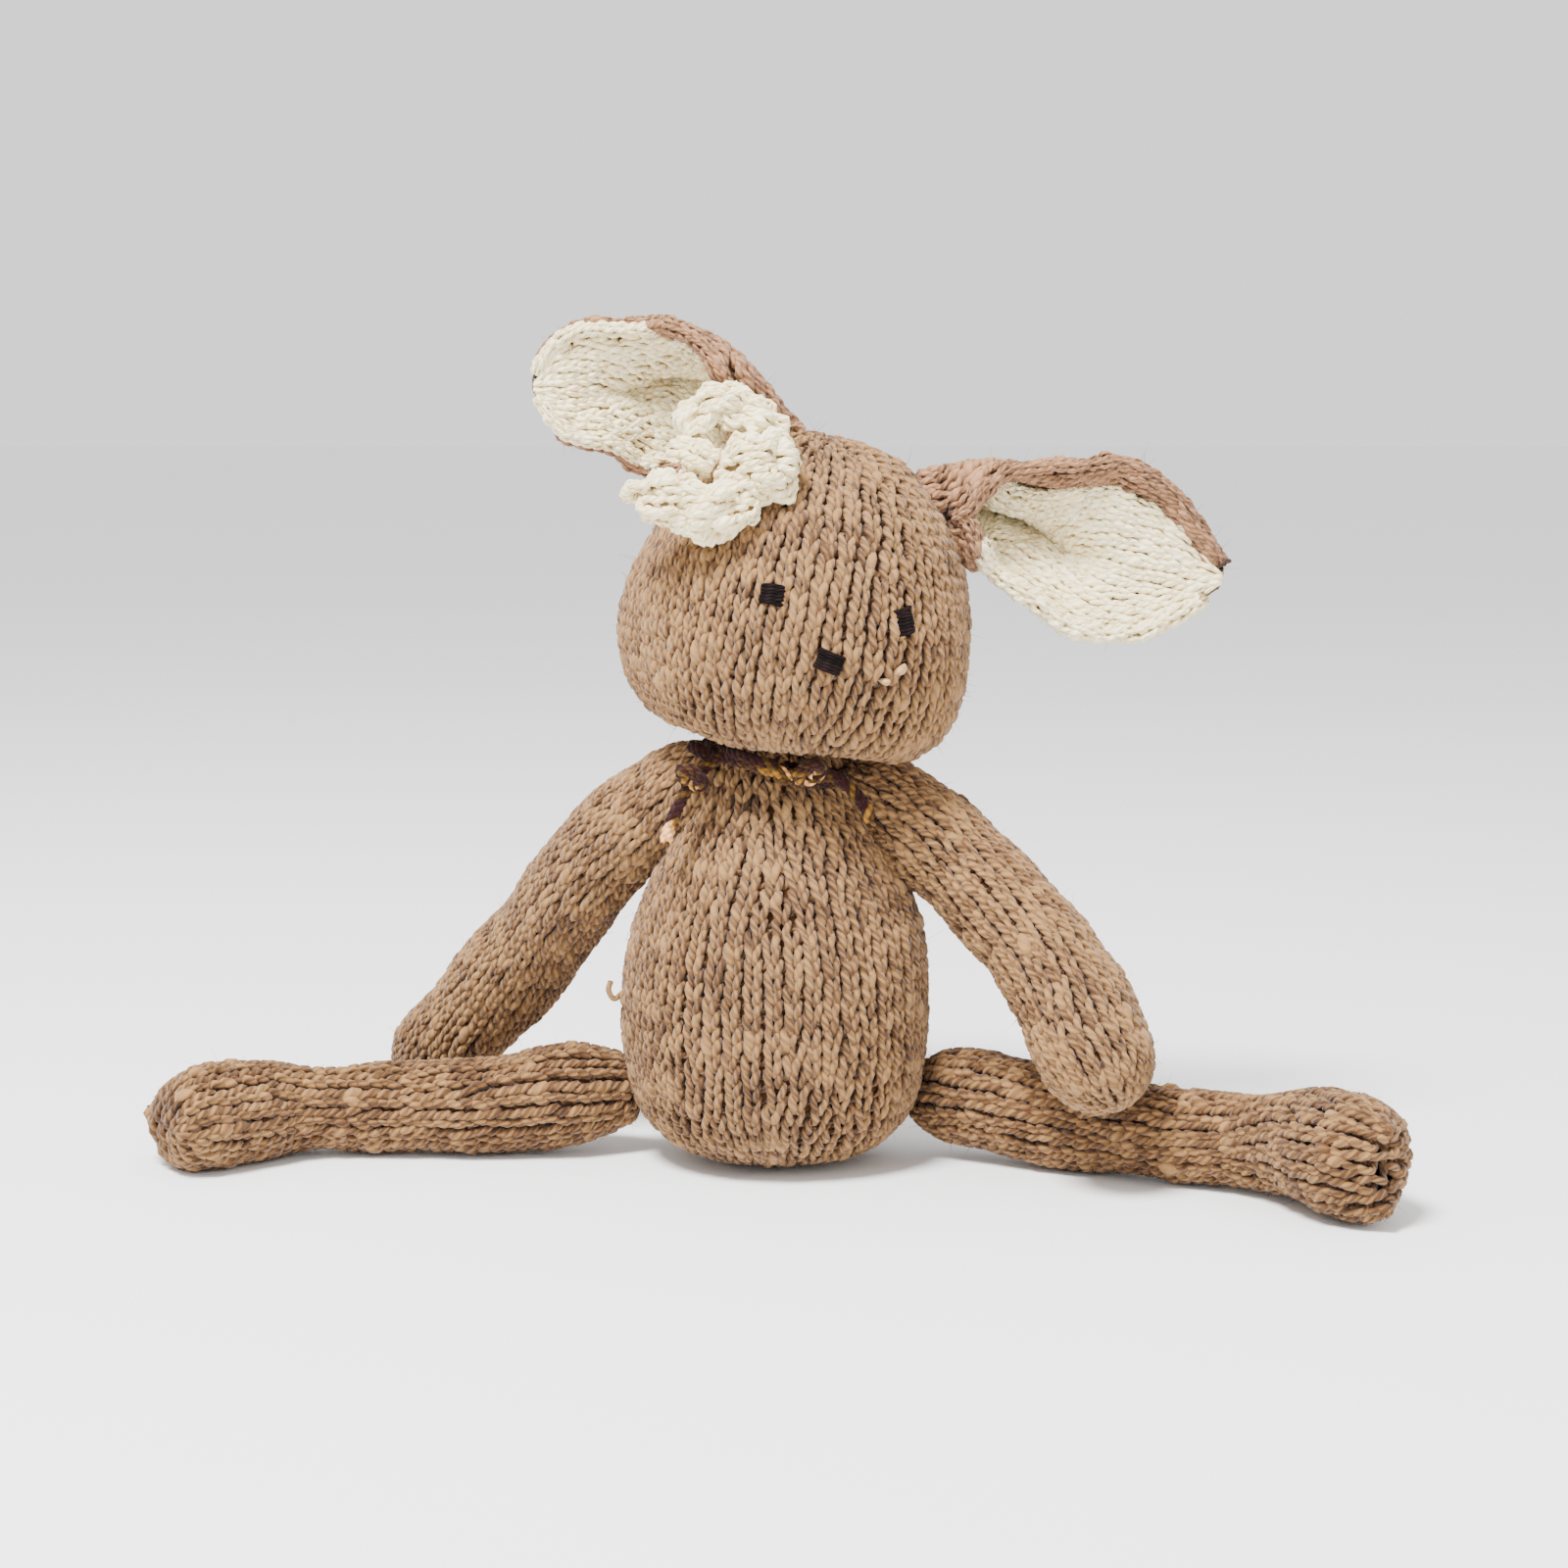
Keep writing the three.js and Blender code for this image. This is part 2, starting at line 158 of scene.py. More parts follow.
class Skin(Surface):
    """The outside of a stuffed bag: a round section of changing size along a route.

    The outline's rows are distance along the route, half size to the side, half size the other way.
    """

    def __init__(self, route, outline, up=(0, 0, 1), lump=0.8, lump_length=45, seed=1):
        line = smooth(route, 500)
        reach = 60
        before = line[0] + unit(line[0] - line[1]) * reach
        after = line[-1] + unit(line[-1] - line[-2]) * reach
        line = np.vstack([before, line, after])
        self.along = run_length(line) - reach
        tangent = unit(np.gradient(line, axis=0))
        side = unit(np.cross(tangent, np.asarray(up, float)))
        self.line, self.side, self.other = line, side, np.cross(side, tangent)
        shape = smooth(outline, 700)
        shape[:, 1:] = np.maximum(shape[:, 1:], 0)
        self.shape = shape
        self.down = run_length(np.column_stack([shape[:, 0], shape[:, 1:].mean(axis=1)]))
        self.length = self.down[-1]
        self.lump, self.lump_length, self.seed = lump, lump_length, seed
        half_way = np.array([self.length / 2])
        point, outward = self.place(np.zeros(1), half_way, 0)
        self.sign = 1 if (outward * (point - self.middle(half_way))).sum() > 0 else -1

    def middle(self, down):
        return read(read(down, self.down, self.shape)[..., 0], self.along, self.line)

    def girth(self, down):
        return TURN * np.interp(down, self.down, self.shape[:, 1:].mean(axis=1))

    def bare(self, turn, down):
        shape = read(down, self.down, self.shape)
        along = shape[..., 0]
        angle = TURN * turn
        across = read(along, self.along, self.side) * (shape[..., 1] * np.cos(angle))[..., None]
        over = read(along, self.along, self.other) * (shape[..., 2] * np.sin(angle))[..., None]
        return read(along, self.along, self.line) + across + over

    def in_front(self, x, z):
        """(point, outward direction) where the side that faces the camera is nearest to x, z."""
        turns, downs = np.meshgrid(np.linspace(0, 1, 241), np.linspace(1, self.length - 1, 241))
        points, outward = self.place(turns, downs, 0)
        away = np.hypot(points[..., 0] - x, points[..., 2] - z) + 1e3 * (outward[..., 1] > 0)
        nearest = np.unravel_index(np.argmin(away), away.shape)
        return points[nearest], outward[nearest]


class Cloth(Surface):
    """A sheet over a grid of points: its rows run across, from the first to the last.

    sign is 1 for the side that its own normals face, -1 for the other.
    """

    closed = False

    def __init__(self, grid, sign=1, lump=0.5, lump_length=16, seed=1):
        self.sign, self.lump, self.lump_length, self.seed = sign, lump, lump_length, seed
        across = grid.shape[1]
        even = np.empty_like(grid)
        self.widths = np.empty(len(grid))
        for i, line in enumerate(grid):
            run = run_length(line)
            self.widths[i] = run[-1]
            even[i] = read(np.linspace(0, run[-1], across), run, line)
        self.grid = even
        self.down = run_length(even[:, across // 2])
        self.length = self.down[-1]

    def girth(self, down):
        return np.interp(down, self.down, self.widths)

    def bare(self, turn, down):
        rows, across = self.grid.shape[:2]
        row = np.clip(np.interp(down, self.down, np.arange(rows)), 0, rows - 1.001)
        column = np.asarray(turn) * (across - 1)
        i = row.astype(int)
        j = np.clip(column.astype(int), 0, across - 2)
        p, q = (row - i)[..., None], (column - j)[..., None]
        near = self.grid[i, j] * (1 - q) + self.grid[i, j + 1] * q
        far = self.grid[i + 1, j] * (1 - q) + self.grid[i + 1, j + 1] * q
        return near * (1 - p) + far * p


def wale_turns(skin, middles, wale, rng, least=6):
    """Where each row's stitches lie round the skin. Stitches come and go as its girth changes."""
    count = max(least, round(skin.girth(middles[0]) / wale))
    turns = (np.arange(count) + rng.uniform()) / count
    rows = []
    for middle in middles:
        wanted = max(least, round(skin.girth(middle) / wale))
        slack = 0.06 * len(turns)
        if abs(wanted - len(turns)) > slack or wanted < 12:
            change = wanted - len(turns)
            many = min(abs(change), max(1, len(turns) // 2))
            spots = (np.arange(many) + rng.uniform()) * len(turns) / max(many, 1)
            picks = np.unique(spots.astype(int) % len(turns))
            after = np.roll(turns, -1) + (np.arange(len(turns)) == len(turns) - 1)
            if change < 0:
                turns[picks] = (turns[picks] + after[picks]) / 2
                gone = (picks + 1) % len(turns)
                turns = np.delete(turns, gone)
            elif change > 0:
                turns = np.sort(np.concatenate([turns, (turns[picks] + after[picks]) / 2]))
        turns = np.sort(turns)
        for _ in range(3):
            before = np.roll(turns, 1) - (np.arange(len(turns)) == 0)
            after = np.roll(turns, -1) + (np.arange(len(turns)) == len(turns) - 1)
            turns = turns + 0.35 * ((before + after) / 2 - turns)
        rows.append(turns.copy())
    return rows


class Yarns:
    """Collects yarn tubes and makes one mesh of them."""

    def __init__(self, sides=YARN_SIDES):
        self.sides = sides
        self.points, self.faces, self.run, self.round, self.tone = [], [], [], [], []
        self.count = 0

    def add(self, centres, radii, outward, tone, closed=False, sides=None):
        """A tube of yarn. radii, outward and tone are one value, or one for each centre."""
        m, k = len(centres), sides or self.sides
        radii = np.broadcast_to(radii, m)
        outward = np.broadcast_to(outward, (m, 3))
        tone = np.broadcast_to(tone, m)
        if closed:
            tangent = unit(np.roll(centres, -1, axis=0) - np.roll(centres, 1, axis=0))
        else:
            tangent = unit(np.gradient(centres, axis=0))
        across = unit(np.cross(outward, tangent))
        over = np.cross(tangent, across)
        angle = TURN * (np.arange(k) / k) - TURN / 4
        # Painted shade and light: the yarn's sides and inner face darker, its outward face lighter.
        shade = SIDE_SHADE * (np.sin(angle) - 0.45)
        ring = np.cos(angle)[None, :, None] * across[:, None] + np.sin(angle)[None, :, None] * over[:, None]
        points = centres[:, None] + radii[:, None, None] * ring
        last = m if closed else m - 1
        i = np.arange(last)
        j = (i + 1) % m
        a = np.arange(k)
        b = (a + 1) % k
        here, ahead = i[:, None] * k, j[:, None] * k
        quads = np.stack([here + a, ahead + a, ahead + b, here + b], axis=-1)
        self.faces.append(quads.reshape(-1, 4) + self.count)
        self.points.append(points.reshape(-1, 3))
        run = run_length(centres)
        self.run.append(np.repeat(run, k))
        self.round.append(np.tile(a / k, m))
        self.tone.append((tone[:, None] + shade[None]).ravel())
        self.count += m * k

    def fuzz(self, count, rng):
        """Loose fibres that stand off the yarns already collected."""
        roots = np.vstack(self.points)
        tones = np.concatenate(self.tone)
        picks = rng.integers(0, len(roots), count)
        ways = unit(rng.normal(size=(count, 3)))
        bends = rng.normal(size=(count, 3)) * 0.5
        steps = np.linspace(0, 1, 5)
        radii = FIBRE * (1.3 - steps)
        for pick, way, bend in zip(picks, ways, bends):
            reach = FIBRE_LENGTH * rng.uniform(0.35, 1.0)
            line = roots[pick] + reach * (steps[:, None] * way + (steps**2)[:, None] * bend)
            line[:, 2] = np.maximum(line[:, 2], FIBRE)
            self.add(line, radii, bend, tones[pick] + 0.15, sides=3)

    def mesh(self, name, material):
        made = new_mesh(name, np.vstack(self.points), np.vstack(self.faces), material)
        for attribute in ("run", "round", "tone"):
            values = getattr(self, attribute)
            layer = made.data.attributes.new(attribute, "FLOAT", "POINT")
            layer.data.foreach_set("value", np.concatenate(values).astype(np.float32))
        return made


def new_mesh(name, points_mm, faces, material):
    """A smooth mesh object from points in millimetres and four-cornered faces."""
    data = bpy.data.meshes.new(name)
    data.vertices.add(len(points_mm))
    data.vertices.foreach_set("co", (points_mm * MM).astype(np.float32).ravel())
    data.loops.add(len(faces) * 4)
    data.loops.foreach_set("vertex_index", faces.astype(np.int32).ravel())
    data.polygons.add(len(faces))
    data.polygons.foreach_set("loop_start", (np.arange(len(faces)) * 4).astype(np.int32))
    data.polygons.foreach_set("use_smooth", np.ones(len(faces), bool))
    data.update(calc_edges=True)
    data.materials.append(material)
    made = bpy.data.objects.new(name, data)
    bpy.context.scene.collection.objects.link(made)
    return made


def thickness_run(wales, rng):
    """The thick-and-thin yarn's thickness along a row, against its usual thickness."""
    thick = 1 + 0.10 * random_run(wales, 0.7, rng) + 0.04 * random_run(wales, 2.3, rng)
    for middle in np.arange(0, wales[-1], 1.0):
        if rng.uniform() < 0.13:
            place = middle + rng.uniform(0, 1)
            thick += rng.uniform(0.25, 0.65) * np.exp(-(((wales - place) / rng.uniform(0.14, 0.26)) ** 2))
        elif rng.uniform() < 0.08:
            place = middle + rng.uniform(0, 1)
            thick -= rng.uniform(0.15, 0.32) * np.exp(-(((wales - place) / 0.3) ** 2))
    return np.clip(thick, 0.6, 1.75)


def row_of_loops(yarns, skin, turns, middle, pitch, yarn, rng, point, tone, back):
    """One row of stocking stitch on a skin. point is 1 where the V's points lie towards the skin's start."""
    count = len(turns)
    steps = count * YARN_STEPS if skin.closed else count * YARN_STEPS + 1
    wales = np.arange(steps) / YARN_STEPS
    along = wales
    if not skin.closed:
        wales = wales - 0.5
    phase = TURN * wales
    swing = LOOP_SWING * np.sin(2 * phase) - LOOP_PINCH * np.sin(phase)
    swing = (swing + 0.18 * random_run(along, 0.5, rng)) / TURN
    index = np.arange(-1, count + 2)
    if skin.closed:
        spread = turns[index % count] + index // count
    else:
        spread = np.interp(index, np.arange(count), turns)
        spread[0] = 2 * turns[0] - turns[1]
        spread[-2:] = turns[-1] + (turns[-1] - turns[-2]) * np.array([1, 2])
    turn = np.interp(wales + swing, index, spread)
    width = skin.girth(middle) * (turns[-1] - turns[0]) / (count - 1)
    rise = LOOP_RISE * pitch * (1 + 0.07 * random_run(along, 1, rng))
    down = middle + point * rise * np.cos(phase) + 0.07 * pitch * random_run(along, 0.7, rng)
    depth = LOOP_DEPTH * max(width, 0.8 * WALE)
    thick = thickness_run(along, rng) * (1 - GRAIN * np.cos(2 * phase))
    lift = -back - depth * np.cos(2 * phase) + 0.16 * random_run(along, 0.6, rng)
    fit = min(1.0, 0.45 + 0.55 * width / (0.8 * WALE))
    if not skin.closed:
        edge = np.clip(np.minimum(along, along[-1] - along) / 0.5, 0, 1)
        lift = lift - 1.5 * (1 - edge) ** 2
        thick = thick * (0.55 + 0.45 * edge)
    turn = turn + 0.10 * (turns[1] - turns[0]) * random_run(along, 1.3, rng)
    centres, outward = skin.place(turn, down, lift)
    # The tone: random along the yarn, lighter where the yarn is thicker, and painted shade where it sinks
    # into the cloth between the loops.
    sunk = 0.5 + 0.5 * np.cos(2 * phase)
    colour = tone + 0.10 * random_run(along, 0.6, rng) + 0.2 * (thick - 1) - 0.31 * sunk**2
    yarns.add(centres, yarn * thick * fit, outward, colour, skin.closed)


def frill_loops(yarns, skin, count, yarn, rng):
    """Small loops of yarn that stand up out of a ruffled piece."""
    for _ in range(count):
        turn, down = rng.uniform(), skin.length * rng.uniform(0.08, 0.95)
        root, outward = skin.place(np.array([turn]), np.array([down]), -yarn)
        root, outward = root[0], outward[0]
        side = unit(np.cross(outward, rng.normal(size=3)))
        lean = unit(np.cross(outward, side)) * rng.uniform(-0.8, 0.8)
        half, tall = side * rng.uniform(0.8, 1.3), outward * rng.uniform(0.5, 1.3)
        shoulder = root + tall * 0.8
        points = [root - half, shoulder - half * 0.8, root + tall + lean, shoulder + half * 0.8, root + half]
        yarns.add(smooth(points, 24), 0.86 * yarn, outward, rng.uniform(0.45, 0.8))


def knitted(
    name, skin, material, seed, wale=WALE, row=ROW, yarn=YARN, point=1, start=0.0, back=None, least=6,
    tone=0.5, frill=0,
):
    """A whole knitted piece over a skin. least is the fewest stitches in a row, frill the loops on it."""
    rng = np.random.default_rng(seed)
    back = 2 * yarn if back is None else back
    rows = max(1, round((skin.length - start) / row))
    pitch = (skin.length - start) / rows
    middles = start + (np.arange(rows) + 0.5) * pitch
    yarns = Yarns()
    drift = random_run(np.arange(rows + 1.0), 3, rng)
    for middle, turns, change in zip(middles, wale_turns(skin, middles, wale, rng, least), drift):
        row_of_loops(yarns, skin, turns, middle, pitch, yarn, rng, point, tone + 0.02 * change, back)
    frill_loops(yarns, skin, frill, yarn, rng)
    yarns.fuzz(round(FUZZ * skin.length * skin.girth(skin.length / 2)), rng)
    return yarns.mesh(name, material)


def knitted_cloth(name, cloth, material, seed, wale, row, yarn, lower, upper, back):
    """Knitting over a sheet between two edges.

    Each edge is rows of share of the length and share of the half width.
    """
    rng = np.random.default_rng(seed)
    rows = max(2, round(cloth.length / row))
    pitch = cloth.length / rows
    yarns = Yarns()
    shift = rng.uniform(-0.5, 0.5)
    for middle in (np.arange(rows) + 0.5) * pitch:
        width = cloth.girth(middle)
        low = np.interp(middle / cloth.length, *zip(*lower))
        high = np.interp(middle / cloth.length, *zip(*upper))
        first = math.ceil((low * width / 2 + wale / 2) / wale - shift)
        last = math.floor((high * width / 2 - wale / 2) / wale - shift)
        if (high - low) * width / 2 < 0.7 * wale:
            continue
        if last - first < 1:
            middle_wale = (low + high) * width / 4 / wale
            first, last = middle_wale - 0.5, middle_wale + 0.5
        wales = np.arange(first, last + 0.5) + shift
        row_of_loops(yarns, cloth, 0.5 + wales * wale / width, middle, pitch, yarn, rng, -1, 0.5, back)
    yarns.fuzz(round(FUZZ * cloth.length * cloth.girth(cloth.length / 2)), rng)
    return yarns.mesh(name, material)


def sheet(name, cloth, material, margin):
    """A plain thin sheet over a cloth's grid, seen only between stitches as painted shade, less a margin at
    each edge.
    """
    rows, across = 60, 40
    turns, downs = np.meshgrid(np.linspace(margin, 1 - margin, across), np.linspace(0, cloth.length, rows))
    points, _ = cloth.place(turns, downs, 0.0)
    i, a = np.meshgrid(np.arange(rows - 1), np.arange(across - 1), indexing="ij")
    corners = [i * across + a, i * across + a + 1, (i + 1) * across + a + 1, (i + 1) * across + a]
    return new_mesh(name, points.reshape(-1, 3), np.stack(corners, axis=-1).reshape(-1, 4), material)


def backing(name, skin, material, depth=CLOTH_BACK + 0.5, around=64):
    """The plain dark inside of a knitted piece, seen only between its stitches: painted shade."""
    stop = skin.length - 3
    rows = max(8, round(stop / 3))
    turns, downs = np.meshgrid(np.arange(around) / around, np.linspace(0.0, stop, rows))
    points, _ = skin.place(turns, downs, -depth)
    i, a = np.meshgrid(np.arange(rows - 1), np.arange(around), indexing="ij")
    b = (a + 1) % around
    quads = np.stack([i * around + a, i * around + b, (i + 1) * around + b, (i + 1) * around + a], axis=-1)
    return new_mesh(name, points.reshape(-1, 3), quads.reshape(-1, 4), material)


# ---------- materials ----------


def rough_material(name, roughness, shine):
    """(material, its nodes' tree, its shader)"""
    material = bpy.data.materials.new(name)
    material.use_nodes = True
    shader = material.node_tree.nodes["Principled BSDF"]
    shader.inputs["Roughness"].default_value = roughness
    shader.inputs["Specular IOR Level"].default_value = shine
    return material, material.node_tree, shader


def attribute_node(tree, name):
    made = tree.nodes.new("ShaderNodeAttribute")
    made.attribute_name = name
    return made.outputs["Fac"]


def math_node(tree, operation, *values):
    """One operation on values, each a number or another node's output."""
    made = tree.nodes.new("ShaderNodeMath")
    made.operation = operation
    for socket, value in zip(made.inputs, values):
        if isinstance(value, (int, float)):
            socket.default_value = value
        else:
            tree.links.new(value, socket)
    return made.outputs[0]


def noise_node(tree, place, scale, detail=2, roughness=0.5):
    made = tree.nodes.new("ShaderNodeTexNoise")
    tree.links.new(place, made.inputs["Vector"])
    made.inputs["Scale"].default_value = scale
    made.inputs["Detail"].default_value = detail
    made.inputs["Roughness"].default_value = roughness
    return made.outputs["Fac"]


def ramp_node(tree, value, stops):
    """A colour for each value. stops are rows of value and colour."""
    made = tree.nodes.new("ShaderNodeValToRGB")
    tree.links.new(value, made.inputs["Fac"])
    elements = made.color_ramp.elements
    for element, (position, colour) in zip(elements, (stops[0], stops[-1])):
        element.position = position
        element.color = (*colour, 1)
    for position, colour in stops[1:-1]:
        elements.new(position).color = (*colour, 1)
    return made.outputs["Color"]


def yarn_material(name, stops, twist=0.13, strands=3, streak=0.42, sheen=0.15):
    """Spun cotton: fibres that wind round the yarn, lighter and darker stretches, and a soft edge glow."""
    material, tree, shader = rough_material(name, 0.88, 0.12)
    shader.inputs["Sheen Weight"].default_value = sheen
    shader.inputs["Sheen Roughness"].default_value = 0.55
    run = attribute_node(tree, "run")
    around = attribute_node(tree, "round")
    tone = attribute_node(tree, "tone")
    place = tree.nodes.new("ShaderNodeTexCoord").outputs["Object"]
    # Fibres: fine streaks and a few broad strands that wind round the yarn.
    wind = math_node(tree, "MULTIPLY_ADD", run, twist, around)
    streak_place = tree.nodes.new("ShaderNodeCombineXYZ")
    tree.links.new(math_node(tree, "MULTIPLY", wind, 9), streak_place.inputs["X"])
    tree.links.new(math_node(tree, "MULTIPLY", run, 0.35), streak_place.inputs["Y"])
    streaks = noise_node(tree, streak_place.outputs["Vector"], 1.0, detail=3, roughness=0.6)
    strand_wave = math_node(tree, "SINE", math_node(tree, "MULTIPLY", wind, strands * TURN))
    fibres = math_node(tree, "MULTIPLY_ADD", strand_wave, 0.30, streaks)
    # Colour: by the yarn's tone, its own tone with painted shade at its sides and where its loops sink and
    # painted light on its outward face, with patches and fibres over it.
    patchy = math_node(tree, "MULTIPLY_ADD", noise_node(tree, place, 110, detail=4), 0.16, tone)
    shaded = math_node(tree, "MULTIPLY_ADD", fibres, streak, patchy)
    tree.links.new(ramp_node(tree, shaded, stops), shader.inputs["Base Color"])
    raised = tree.nodes.new("ShaderNodeBump")
    raised.inputs["Strength"].default_value = 1.0
    raised.inputs["Distance"].default_value = 0.0006
    tree.links.new(fibres, raised.inputs["Height"])
    tree.links.new(raised.outputs["Normal"], shader.inputs["Normal"])
    return material


def plain_cloth(name, colour):
    """A plain rough inside cloth with a fine mottle, in the dark colour of painted shade."""
    material, tree, shader = rough_material(name, 1.0, 0.0)
    place = tree.nodes.new("ShaderNodeTexCoord").outputs["Object"]
    stops = [(0.0, [c * 0.7 for c in colour]), (1.0, [min(1, c * 1.3) for c in colour])]
    mottled = ramp_node(tree, noise_node(tree, place, 700), stops)
    tree.links.new(mottled, shader.inputs["Base Color"])
    return material


def shades(dark, middle, light):
    """The colours of a yarn of one dye, by its tone."""
    return [(0.28, dark), (0.64, middle), (1.0, light)]


tan_yarn = yarn_material("tan_yarn", shades(*TAN))
ear_yarn = yarn_material("ear_tan_yarn", shades(*EAR_TAN))
cream_yarn = yarn_material("cream_yarn", shades(*CREAM))
pale_yarn = yarn_material("pale_slub_yarn", shades(*PALE_SLUB))
dark_yarn = yarn_material("dark_thread", shades(*NEAR_BLACK), sheen=0.0)
tie_material = yarn_material("variegated_yarn", TIE_DYES, twist=0.35, strands=2, streak=0.2, sheen=0.05)
# Painted shade: the dark cloths inside the pieces.
tan_backing_shade = plain_cloth("tan_backing_shade", BACKING_TAN_SHADE)
cream_backing_shade = plain_cloth("cream_backing_shade", BACKING_CREAM_SHADE)

# ---------- body and head ----------

NECK = np.array(JOINTS["head_turn"]["pos_m"]) / MM
HEAD_LEAN = math.radians(10)
HEAD_AXIS = np.array([math.sin(HEAD_LEAN), 0, math.cos(HEAD_LEAN)])
FORWARD = (0, -1, 0)  # towards the camera


def round_outline(rows, depth):
    return [(along, wide, wide * depth) for along, wide in rows]


BODY_OUTLINE = [
    (1.6, 0), (0.8, 9), (1.6, 18), (5.6, 29.6), (14, 38), (25, 41.6), (38, 43), (54, 42.5),
    (68, 39.8), (80, 35.4), (92, 29), (102, 23), (110, 19), (116, 16.8), (120, 14),
]
HEAD_OUTLINE = [
    (5.5, 7), (2.2, 16), (0.0, 25), (1.2, 34.5), (7.8, 42.3), (17, 46.5), (26, 48.2), (36, 48.1), (46, 46.0),
    (56, 41.8), (66, 35.6), (74, 28.8), (80, 21.4), (83.6, 13), (85.2, 5), (85.4, 0),
]


def place_piece(piece, body, slot, *nodes):
    """The piece rides on the body and stands for the CAD nodes. slot is not used."""
    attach(piece, body)
    if nodes:
        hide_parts(*nodes)


def make_stuffed(name, body, skin, **knitting):
    """A stuffed bag that rides on one body: its knitting and the dark cloth inside, painted shade seen
    between the stitches.
    """
    piece = knitted(f"{name}_knit_yarn", skin, tan_yarn, **knitting)
    inside = backing(f"{name}_knit_backing_shade", skin, tan_backing_shade)
    place_piece(piece, body, "tan_knit", f"{name}_knit", f"{name}_filling")
    place_piece(inside, body, "tan_knit")


BODY_ROUTE = [(NECK[0] - 1, 0, 0), (NECK[0], 0, 60), (NECK[0], 0, 130)]
HEAD_ROUTE = [NECK, NECK + HEAD_AXIS * 40, NECK + HEAD_AXIS * 95]

body_skin = Skin(BODY_ROUTE, round_outline(BODY_OUTLINE, 0.94), up=FORWARD, lump=0.7, seed=3)
head_skin = Skin(HEAD_ROUTE, round_outline(HEAD_OUTLINE, 0.95), up=FORWARD, lump=0.8, seed=5)
# Painted shade: the body's tone (0.46) is darker than the head's (0.5), as less light reaches it.
make_stuffed("body", "torso", body_skin, seed=11, tone=0.46)
make_stuffed("head", "head", head_skin, seed=12, wale=4.85)

# ---------- limbs ----------

# distance along, half size to the side, half size up and down
ARM_LEFT_OUTLINE = [
    (-19, 5, 5), (-14, 8, 8.5), (-7, 10, 11.5), (2, 11.8, 13), (14, 13.4, 14), (40, 14.4, 14.6),
    (66, 14.8, 14.8), (95, 16.4, 15.6), (116, 16, 15), (126, 12.5, 12), (131.5, 7, 7), (133.5, 0, 0),
]
ARM_RIGHT_OUTLINE = [
    (-19, 5, 5), (-14, 8, 8.5), (-7, 10, 11.5), (2, 11.8, 13), (14, 13.6, 14.2), (40, 14.6, 14.8),
    (66, 15, 14.8), (82, 16.4, 15.4), (95, 17, 15.2), (104, 14, 12.6), (109, 8, 7.6), (111, 0, 0),
]
LEG_LEFT_OUTLINE = [
    (-8.5, 3, 5), (-6, 7, 9.5), (2, 11, 13.2), (12, 13.4, 14.6), (30, 13.6, 14.2), (52, 13, 13), (75, 12, 12),
    (87, 12.8, 12.8), (98, 15.4, 14.8), (110, 17.4, 15.2), (119, 17.2, 14), (124.5, 16, 11), (127, 14.5, 7),
    (128, 13, 1.8), (128.3, 12.5, 0.5),
]
LEG_RIGHT_OUTLINE = [
    (-8, 3, 5), (-5.5, 6.5, 9), (2, 10.5, 12.8), (12, 13, 14.2), (30, 13.6, 14.2), (52, 13.2, 13.4),
    (80, 12.6, 12.6), (96, 13.6, 13.6), (112, 15.5, 15.6), (126, 15.5, 16.2), (135, 13.5, 15.6),
    (140, 9.5, 14.2), (143, 5.5, 12.8), (144.2, 1.8, 11.6), (144.5, 0.5, 11.2),
]


def joint_place(name):
    return np.array(JOINTS[name]["pos_m"]) / MM


ARM_LEFT_ROUTE = [
    joint_place("arm_left_raise"), (-50, 15, 81.5), (-69.5, 32, 54.5), (-90.5, 46, 28.5), (-104, 52, 13.5),
]
ARM_RIGHT_ROUTE = [
    joint_place("arm_right_raise") + (0, 0, -0.6), (50, -11, 85), (66, -23, 69.5), (77.7, -33, 54.5),
    (85.3, -41.5, 39), (89, -45.5, 29),
]
LEG_LEFT_ROUTE = [
    joint_place("leg_left_twist") + (0, 0, -2), (-62, 5, 16), (-87, 4, 14), (-112, 5, 12.6), (-134, 2, 13),
    (-148, -5, 13.4), (-164, -15, 13.4),
]
LEG_RIGHT_ROUTE = [
    joint_place("leg_right_twist") + (0, 0, -2), (62, -3, 16.4), (86, -16, 14), (109, -27, 12.8),
    (128, -36, 13.6), (140, -47, 15.8), (147, -62, 16.4), (154.5, -77, 16.4),
]


def make_limb(name, route, outline, seed, mid_body, bend, **knitting):
    """A stuffed limb: its knitting and the cloth inside. mid_body and bend are not used."""
    skin = Skin(route, outline, lump=0.7, lump_length=30, seed=seed)
    piece = knitted(f"{name}_knit_yarn", skin, tan_yarn, seed, start=0.5, point=-1, **knitting)
    # The dark cloth inside: painted shade seen between the stitches.
    inside = backing(f"{name}_knit_backing_shade", skin, tan_backing_shade, around=36)
    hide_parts(f"{name}_knit", f"{name}_filling")
    for made in (piece, inside):
        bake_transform(made)


# Painted shade: the arms' tone (0.48) and the legs' (0.38) are darker than the head's (0.5), as less light
# reaches them.
ARM_KNIT = {"bend": (8, 30), "wale": 4.9, "row": 3.7, "tone": 0.48}
LEG_KNIT = {"bend": (0, 18), "wale": 5.9, "row": 3.3, "yarn": 1.16, "tone": 0.38}

